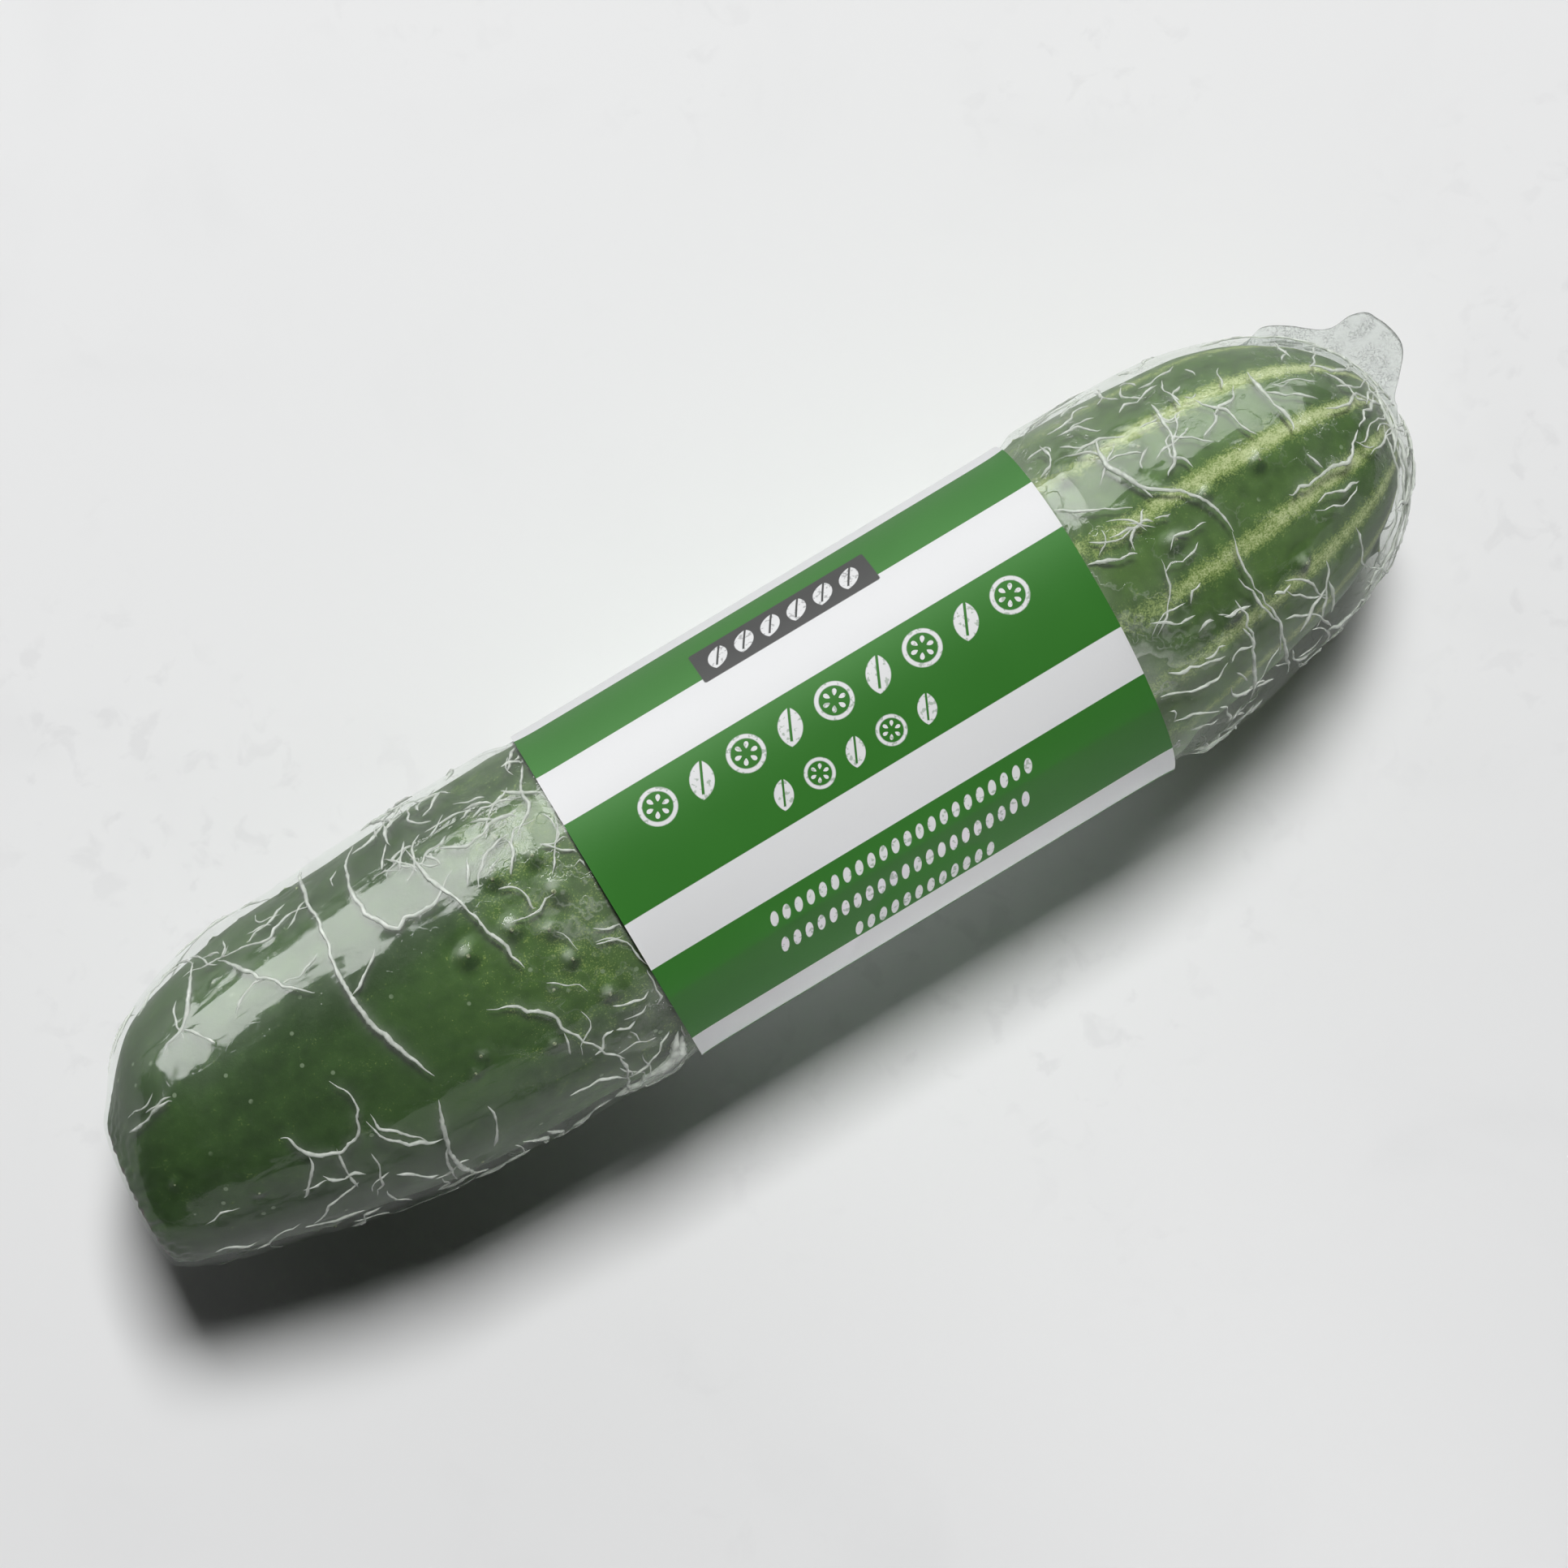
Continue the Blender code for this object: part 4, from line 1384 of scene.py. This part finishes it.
    def build_tail(self) -> None:
        """The flat tail of spare film: a thin wavy sheet from the blossom end's side to a free rim."""
        form = self.form
        rim = smooth_curve(TAIL_RIM, 10) * MM
        count = len(rim)
        along = np.linspace(0, 1, count)
        reach = form.tip_x - form.thickest_x
        start = math.asin(((self.tail_start - form.thickest_x) / reach) ** (form.blossom_power / 2))
        turn = start + (math.radians(100) - start) * along**1.15
        x = form.thickest_x + reach * np.abs(np.sin(turn)) ** (2 / form.blossom_power)
        y = form.film_radius * np.cos(turn) + form.sway_at(x)
        root = np.stack([x + 0.1 * MM, y], 1)
        rows = self.tail_rows
        share = np.linspace(0, 1, rows)[:, None, None]
        flat = root[None] * (1 - share) + rim[None] * share
        level = np.full(flat.shape[:2], form.axis_height)
        middle = np.concatenate([flat, level[..., None]], axis=2)
        wave = Waves(9 * MM, 41).at(middle) * 0.7 * MM + Waves(3 * MM, 42).at(middle) * 0.22 * MM
        middle[..., 2] += wave * share[..., 0] ** 0.8
        edge = np.minimum(1.0, np.minimum(share[..., 0] * 99, (1 - share[..., 0]) * 6 + 0.25))
        half = self.tail_half * edge
        top, bottom = middle.copy(), middle.copy()
        top[..., 2] += half
        bottom[..., 2] -= half
        size = rows * count
        faces: list[Sequence[int]] = []
        for i in range(rows - 1):
            for j in range(count - 1):
                a = i * count + j
                quad = (a, a + 1, a + count + 1, a + count)
                faces.append(quad)
                faces.append(tuple(size + v for v in quad[::-1]))
        border = [*range(count - 1), *(i * count + count - 1 for i in range(rows - 1))]
        border += [(rows - 1) * count + j for j in range(count - 1, 0, -1)]
        border += [i * count for i in range(rows - 1, 0, -1)]
        for a, b in zip(border, [*border[1:], border[0]]):
            faces.append((b, a, size + a, size + b))
        mesh = make_mesh("film_tail", np.concatenate([top.reshape(-1, 3), bottom.reshape(-1, 3)]), faces)
        rim_near = np.broadcast_to(eased((share[..., 0] - 0.86) / 0.14), (rows, count))
        add_numbers(mesh, "rim", np.concatenate([rim_near.ravel(), rim_near.ravel()]))
        add_piece(mesh, [TailFinish().build()])


# Rim of the tail seen from above, in millimetres: X, then Y
TAIL_RIM: tuple[tuple[float, float], ...] = (
    (88.0, 19.5),
    (90.6, 20.8),
    (92.6, 20.7),
    (96.0, 18.4),
    (99.7, 15.9),
    (103.3, 15.9),
    (106.0, 14.7),
    (107.8, 10.8),
    (107.2, 7.5),
    (103.0, 3.2),
    (102.3, 1.4),
    (101.6, 0.4),
)


# --------------------------------------------------------------------------- the sleeve


@dataclass(frozen=True)
class PrintFinish:
    """Coated paper printed with green stripes, slices, leaves and seeds."""

    radius: float
    axis_height: float
    middle: float
    white: tuple[float, float, float] = (0.675, 0.680, 0.685)
    shade: tuple[float, float, float] = (0.650, 0.660, 0.670)
    green: tuple[float, float, float] = (0.030, 0.148, 0.020)
    green_shade: tuple[float, float, float] = (0.035, 0.165, 0.024)
    charcoal: tuple[float, float, float] = (0.045, 0.046, 0.045)
    stripes: tuple[tuple[float, float], ...] = (
        (-71.3, -45.1),
        (-24.7, 10.8),
        (27.3, 61.3),
        (82.0, 118.0),
        (136.0, 172.0),
        (-168.0, -136.0),
        (-122.0, -91.0),
    )
    soft: float = 0.10
    picture_rows: tuple[tuple[float, float, int, float, float, int], ...] = (
        (-30.6, 6.95, 9, -6.6, 2.75, 0),
        (-14.6, 5.65, 5, 0.9, 2.15, 1),
    )
    seed_rows: tuple[tuple[float, int, float, float], ...] = (
        (-22.3, 22, 15.5, 1.15),
        (-22.7, 21, 20.4, 1.30),
        (-12.7, 12, 25.9, 1.45),
    )
    seed_pitch: float = 1.92
    seed_width: float = 0.60
    plate_middle: tuple[float, float] = (1.2, -23.1)
    plate_half: tuple[float, float] = (13.6, 3.2)

    def band(self, value: Value, low: float, high: float) -> Value:
        """1 between two limits and 0 outside, with thin soft edges."""
        return value.step(low - self.soft, low + self.soft) * value.step(high + self.soft, high - self.soft)

    def length(self, u: Value, v: Value) -> Value:
        """Length of a flat vector."""
        return (u * u + v * v).math("SQRT")

    def row(self, u: Value, low: float, pitch: float, count: int) -> tuple[Value, Value, Value]:
        """Repeat a drawing along the sleeve.

        Returns:
            The place inside each repeat, its number, and where the row is.
        """
        cells = (u - low) / pitch
        number = cells.math("FLOOR")
        inside = (cells - number - 0.5) * pitch
        shown = number.step(-1.0, 0.0) * number.step(count, count - 1.0)
        return inside, number, shown

    def slice(self, u: Value, v: Value, radius: float) -> Value:
        """A slice of cucumber: its rim and six seeds."""
        distance = self.length(u, v) / radius
        turn = v.math("ARCTAN2", u)
        rim = self.edge_band(distance, 0.78, 1.0, radius)
        away = (distance - 0.44) / 0.20
        seeds = (away * away + (1.0 - (turn * 6.0).math("COSINE")) * 0.9).step(0.95, 0.75)
        return (rim + seeds).math("MINIMUM", 1.0)

    def leaf(self, u: Value, v: Value, radius: float) -> Value:
        """A leaf: two arcs that meet at both ends, with a middle rib left out."""
        across = (u * 0.9 + v * 0.42) / radius
        along = (v * 0.9 - u * 0.42) / radius
        side = across.math("ABSOLUTE") + 0.50
        body = self.length(side, along).step(1.15, 1.09)
        rib = across.math("ABSOLUTE").step(0.05, 0.09)
        return body * rib.math("MAXIMUM", along.step(0.70, 0.78))

    def edge_band(self, value: Value, low: float, high: float, scale: float) -> Value:
        """A band of a value given in shares of a radius in millimetres."""
        soft = self.soft / scale
        return value.step(low - soft, low + soft) * value.step(high + soft, high - soft)

    def seeds(self, u: Value, v: Value, half: tuple[float, float]) -> Value:
        """A seed that leans a little, by its half width and half height."""
        leaning = u + v * 0.25
        return self.length(leaning / half[0], v / half[1]).step(1.08, 0.92)

    def plate(self, u: Value, v: Value, size: tuple[float, float]) -> Value:
        """Signed distance in millimetres to a bar with slightly rounded corners."""
        over_u = (u.math("ABSOLUTE") - size[0]).math("MAXIMUM", 0.0)
        over_v = (v.math("ABSOLUTE") - size[1]).math("MAXIMUM", 0.0)
        return self.length(over_u, over_v) - 0.4

    def pictures(self, u: Value, v: Value) -> Value:
        """Everything printed in white: slices and leaves in two rows, and three rows of seeds."""
        total = None
        for low, pitch, count, middle, radius, first in self.picture_rows:
            inside, number, shown = self.row(u, low, pitch, count)
            up = v - middle
            odd = (number + first).math("FLOORED_MODULO", 2.0)
            both = self.slice(inside, up, radius) * (1.0 - odd) + self.leaf(inside, up, radius) * odd
            total = both * shown if total is None else total + both * shown
        for low, count, middle, height in self.seed_rows:
            inside, _, shown = self.row(u, low, self.seed_pitch, count)
            total = total + self.seeds(inside, v - middle, (self.seed_width, height)) * shown
        return total.math("MINIMUM", 1.0)

    def build(self) -> bpy.types.Material:
        """Make the material."""
        g = Graph("printed_paper")
        place = g.position()
        x, y, z = g.axes(place)
        angle = (y * -1.0).math("ARCTAN2", z - self.axis_height)
        degrees = angle * (180 / math.pi)
        u = (x - self.middle) * 1000.0
        v = angle * (self.radius * 1000.0)
        ink = self.band(degrees, *self.stripes[0])
        for low, high in self.stripes[1:]:
            ink = ink + self.band(degrees, low, high)
        fibre = g.noise(place, 2600.0, 3.0)
        worn = g.noise(place, 1300.0, 2.0).step(0.36, 0.44) * 0.45 + 0.55
        cloud = g.noise(place, 60.0, 2.0)
        white = g.blend(cloud * 0.5, self.white, self.shade)
        green = g.blend(cloud.step(0.3, 0.7) * 0.5, self.green, self.green_shade)
        colour = g.blend(ink, white, green)
        colour = g.blend(self.pictures(u, v) * worn, colour, self.white)
        plate_u, plate_v = u - self.plate_middle[0], v - self.plate_middle[1]
        outline = self.plate(plate_u, plate_v, self.plate_half)
        colour = g.blend(outline.step(self.soft, -self.soft), colour, self.charcoal)
        inside, _, shown = self.row(plate_u, -12.6, 4.2, 6)
        colour = g.blend(self.leaf(inside, plate_v, 2.3) * shown * worn, colour, self.white)
        surface = g.principled(
            {
                "Base Color": colour,
                "Roughness": fibre * 0.08 + 0.46,
                "Specular IOR Level": 0.22,
                "Normal": g.bump(fibre, 0.02 * MM, 0.5),
            }
        )
        return g.finish(surface)


@dataclass(frozen=True)
class BackFinish:
    """The sleeve's bare inner face and its cut edges."""

    colour: tuple[float, float, float] = (0.74, 0.73, 0.70)

    def build(self) -> bpy.types.Material:
        """Make the material."""
        g = Graph("bare_paper")
        fibre = g.noise(g.position(), 2200.0, 4.0)
        surface = g.principled(
            {
                "Base Color": g.blend(fibre, self.colour, (0.66, 0.65, 0.62)),
                "Roughness": fibre * 0.1 + 0.8,
                "Normal": g.bump(fibre, 0.03 * MM),
            }
        )
        return g.finish(surface)


@dataclass
class Sleeve:
    """The paper sleeve, with a glued overlap down its hidden side."""

    form: FruitForm
    sides: int = 216
    rows: int = 56
    seam_angle: float = math.radians(-125)
    seam_width: float = math.radians(22)
    seam_step: float = 0.16 * MM
    flare: float = 0.14 * MM

    def build(self) -> None:
        """Make the sleeve."""
        form = self.form
        even = np.arange(self.sides) * 2 * math.pi / self.sides - math.pi
        clear = even[np.abs(even - self.seam_angle) > 0.004]
        angle = np.sort(np.append(clear, [self.seam_angle - 0.002, self.seam_angle + 0.002]))
        across = (angle - (self.seam_angle - self.seam_width)) / self.seam_width
        lap = np.where((across > 0) & (across < 1), eased(across * 2.5), 0.0) * self.seam_step
        share = (1 - np.cos(np.linspace(0, math.pi, self.rows))) / 2
        x = form.sleeve_start + (form.sleeve_end - form.sleeve_start) * share
        from_edge = np.minimum(x - form.sleeve_start, form.sleeve_end - x)
        flare = self.flare * np.exp(-from_edge / (1.6 * MM))
        ripple = np.sin(angle * 5 + 1.0) * 0.5 + np.sin(angle * 9) * 0.3
        shape = flare[:, None] * (1 + ripple[None, :])
        skew = (form.sleeve_skew * share)[:, None]
        outer_radius = form.sleeve_radius + lap[None, :] + shape
        inner_radius = form.sleeve_radius - form.sleeve_wall + shape
        middle = (form.sleeve_start + form.sleeve_end) / 2
        belongs = np.full(self.rows, middle)
        outer = form.rings(x, outer_radius, belongs, angle, skew)
        inner = form.rings(x, inner_radius, belongs, angle, skew)
        outer[..., 2] = np.maximum(outer[..., 2], 0.0)
        grid = np.concatenate([outer, inner[::-1]])
        rings, sides = grid.shape[:2]
        faces: list[Sequence[int]] = []
        for k in range(rings):
            faces += ring_faces(k * sides, ((k + 1) % rings) * sides, sides)
        mesh = make_mesh("paper_sleeve", grid.reshape(-1, 3), faces)
        finish = PrintFinish(form.sleeve_radius, form.axis_height, middle)
        piece = add_piece(mesh, [finish.build(), BackFinish().build()])
        band = np.arange(len(mesh.polygons)) // sides
        mesh.polygons.foreach_set("material_index", (band >= self.rows - 1).astype(np.int32))
        mesh.set_sharp_from_angle(angle=math.radians(40))
        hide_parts("label_sleeve")


# --------------------------------------------------------------------------- the studio


@dataclass(frozen=True)
class FloorFinish:
    """Pale, barely mottled plaster."""

    pale: tuple[float, float, float] = (0.800, 0.803, 0.806)
    shade: tuple[float, float, float] = (0.765, 0.768, 0.772)
    stain: tuple[float, float, float] = (0.62, 0.62, 0.63)

    def build(self) -> bpy.types.Material:
        """Make the material."""
        g = Graph("pale_floor")
        place = g.position()
        mottle = g.noise(place, 26.0, 5.0, 0.6)
        stain = g.noise(place, 11.0, 2.0).step(0.52, 0.66) * g.noise(place, 190.0, 4.0, 0.5).step(0.54, 0.68)
        colour = g.blend(mottle.step(0.50, 0.85), self.pale, self.shade)
        surface = g.principled(
            {"Base Color": g.blend(stain * 0.28, colour, self.stain), "Roughness": mottle * 0.1 + 0.7}
        )
        return g.finish(surface)


@dataclass
class Studio:
    """The floor, the lights and the camera that looks almost straight down."""

    form: FruitForm
    floor_size: float = 6.0
    field_of_view: float = math.radians(21.74)
    distance: float = 0.575
    foot: tuple[float, float] = (-29.5 * MM, 0.34 * MM)
    aim: tuple[float, float] = (-0.2 * MM, 0.34 * MM)
    roll: float = math.radians(31)
    key_zenith: float = math.radians(29.5)
    key_heading: tuple[float, float] = (0.515, 0.857)
    key_distance: float = 3.0
    key_size: float = 0.90
    key_power: float = 100.0
    box_zenith: float = math.radians(66)
    boxes: tuple[tuple[float, float, float], ...] = ((-0.36, 1.00, 14.5), (0.75, 1.20, 10.0))
    box_height: float = 0.62
    box_distance: float = 0.9
    card_zenith: float = math.radians(85)
    card_size: tuple[float, float] = (0.06, 0.12)
    card_distance: float = 0.5
    card_spread: float = math.radians(20)
    card_power: float = 0.021
    card_shift: float = 9.5 * MM
    wall_zenith: float = math.radians(72)
    wall_size: tuple[float, float] = (2.4, 0.5)
    wall_distance: float = 0.9
    wall_power: float = 2.3
    veil_height: float = 1.0
    veil_size: float = 2.4
    veil_power: float = 1.6
    sky: float = 0.012

    def build(self) -> None:
        """Make everything that isn't part of the object."""
        self.build_floor()
        self.build_lights()
        self.build_camera()

    def build_floor(self) -> None:
        """A wide plain floor under the object."""
        half = self.floor_size / 2
        mesh = bpy.data.meshes.new("floor")
        corners = [(-half, -half, 0), (half, -half, 0), (half, half, 0), (-half, half, 0)]
        mesh.from_pydata(corners, [], [(0, 1, 2, 3)])
        mesh.materials.append(FloorFinish().build())
        floor = bpy.data.objects.new("floor", mesh)
        bpy.context.scene.collection.objects.link(floor)

    def area_light(
        self, name: str, heading: Vector, distance: float, size: tuple[float, float], power: float
    ) -> bpy.types.Object:
        """An area light that faces the object from a heading."""
        light = bpy.data.lights.new(name, "AREA")
        light.shape = "RECTANGLE"
        light.size, light.size_y = size
        light.energy = power
        lamp = bpy.data.objects.new(name, light)
        heading = heading.normalized()
        lamp.location = Vector((0, 0, self.form.axis_height)) + heading * distance
        across = Vector((1, 0, 0)) if abs(heading.x) < 0.5 else Vector((heading.y, -heading.x, 0)).normalized()
        up = heading.cross(across).normalized()
        turn = Matrix((up.cross(heading), up, heading)).transposed().to_4x4()
        lamp.matrix_world = Matrix.Translation(lamp.location) @ turn
        bpy.context.scene.collection.objects.link(lamp)
        return lamp

    def build_lights(self) -> None:
        """A soft key light, low lights that fill the front, softboxes that only show as gloss, and a sky."""
        sine = math.sin(self.key_zenith)
        heading = Vector((self.key_heading[0] * sine, self.key_heading[1] * sine, math.cos(self.key_zenith)))
        key = self.area_light("key", heading, self.key_distance, (self.key_size,) * 2, self.key_power)
        key.visible_glossy = False
        side = Vector((0.0, math.sin(self.box_zenith), math.cos(self.box_zenith)))
        for number, (middle, width, power) in enumerate(self.boxes):
            box = self.area_light(f"softbox_{number}", side, self.box_distance, (width, self.box_height), power)
            box.location.x = middle
            box.visible_diffuse = False
        veil = self.area_light("veil", Vector((0, 0, 1)), self.veil_height, (self.veil_size,) * 2, self.veil_power)
        veil.visible_diffuse = False
        below = Vector((0.0, -math.sin(self.card_zenith), math.cos(self.card_zenith)))
        card = self.area_light("card", below, self.card_distance, self.card_size, self.card_power)
        card.location.x += self.card_shift
        card.data.spread = self.card_spread
        card.visible_glossy = False
        low = Vector((0, -math.sin(self.wall_zenith), math.cos(self.wall_zenith)))
        wall = self.area_light("wall", low, self.wall_distance, self.wall_size, self.wall_power)
        wall.visible_diffuse = False
        world = bpy.data.worlds.new("sky")
        world.use_nodes = True
        background = world.node_tree.nodes["Background"]
        background.inputs["Color"].default_value = (0.97, 0.985, 1.0, 1.0)
        background.inputs["Strength"].default_value = self.sky
        bpy.context.scene.world = world

    def build_camera(self) -> None:
        """The camera, turned so that the fruit rises to the right."""
        camera = bpy.data.cameras.new("camera")
        camera.angle = self.field_of_view
        camera.dof.use_dof = False
        camera.clip_start = 0.01
        aim = Vector((*self.aim, self.form.axis_height))
        place = Vector((*self.foot, self.form.axis_height + self.distance))
        back = (place - aim).normalized()
        right = Vector((math.cos(self.roll), -math.sin(self.roll), 0))
        right = (right - back * right.dot(back)).normalized()
        up = back.cross(right)
        eye = bpy.data.objects.new("camera", camera)
        eye.matrix_world = Matrix.Translation(place) @ Matrix((right, up, back)).transposed().to_4x4()
        bpy.context.scene.collection.objects.link(eye)
        bpy.context.scene.camera = eye
        bpy.context.scene.view_settings.view_transform = "Standard"
        bpy.context.scene.view_settings.look = "None"


def main() -> None:
    """Build the object and its studio, and note its size."""
    logging.basicConfig(level=logging.INFO, format="%(name)s: %(message)s")
    form = FruitForm.from_frame()
    fruit = Fruit(form)
    for part in (fruit, Film(form, fruit), Sleeve(form), Studio(form)):
        part.build()
        LOG.info("%s built", type(part).__name__)


if __name__ == "__main__":
    main()
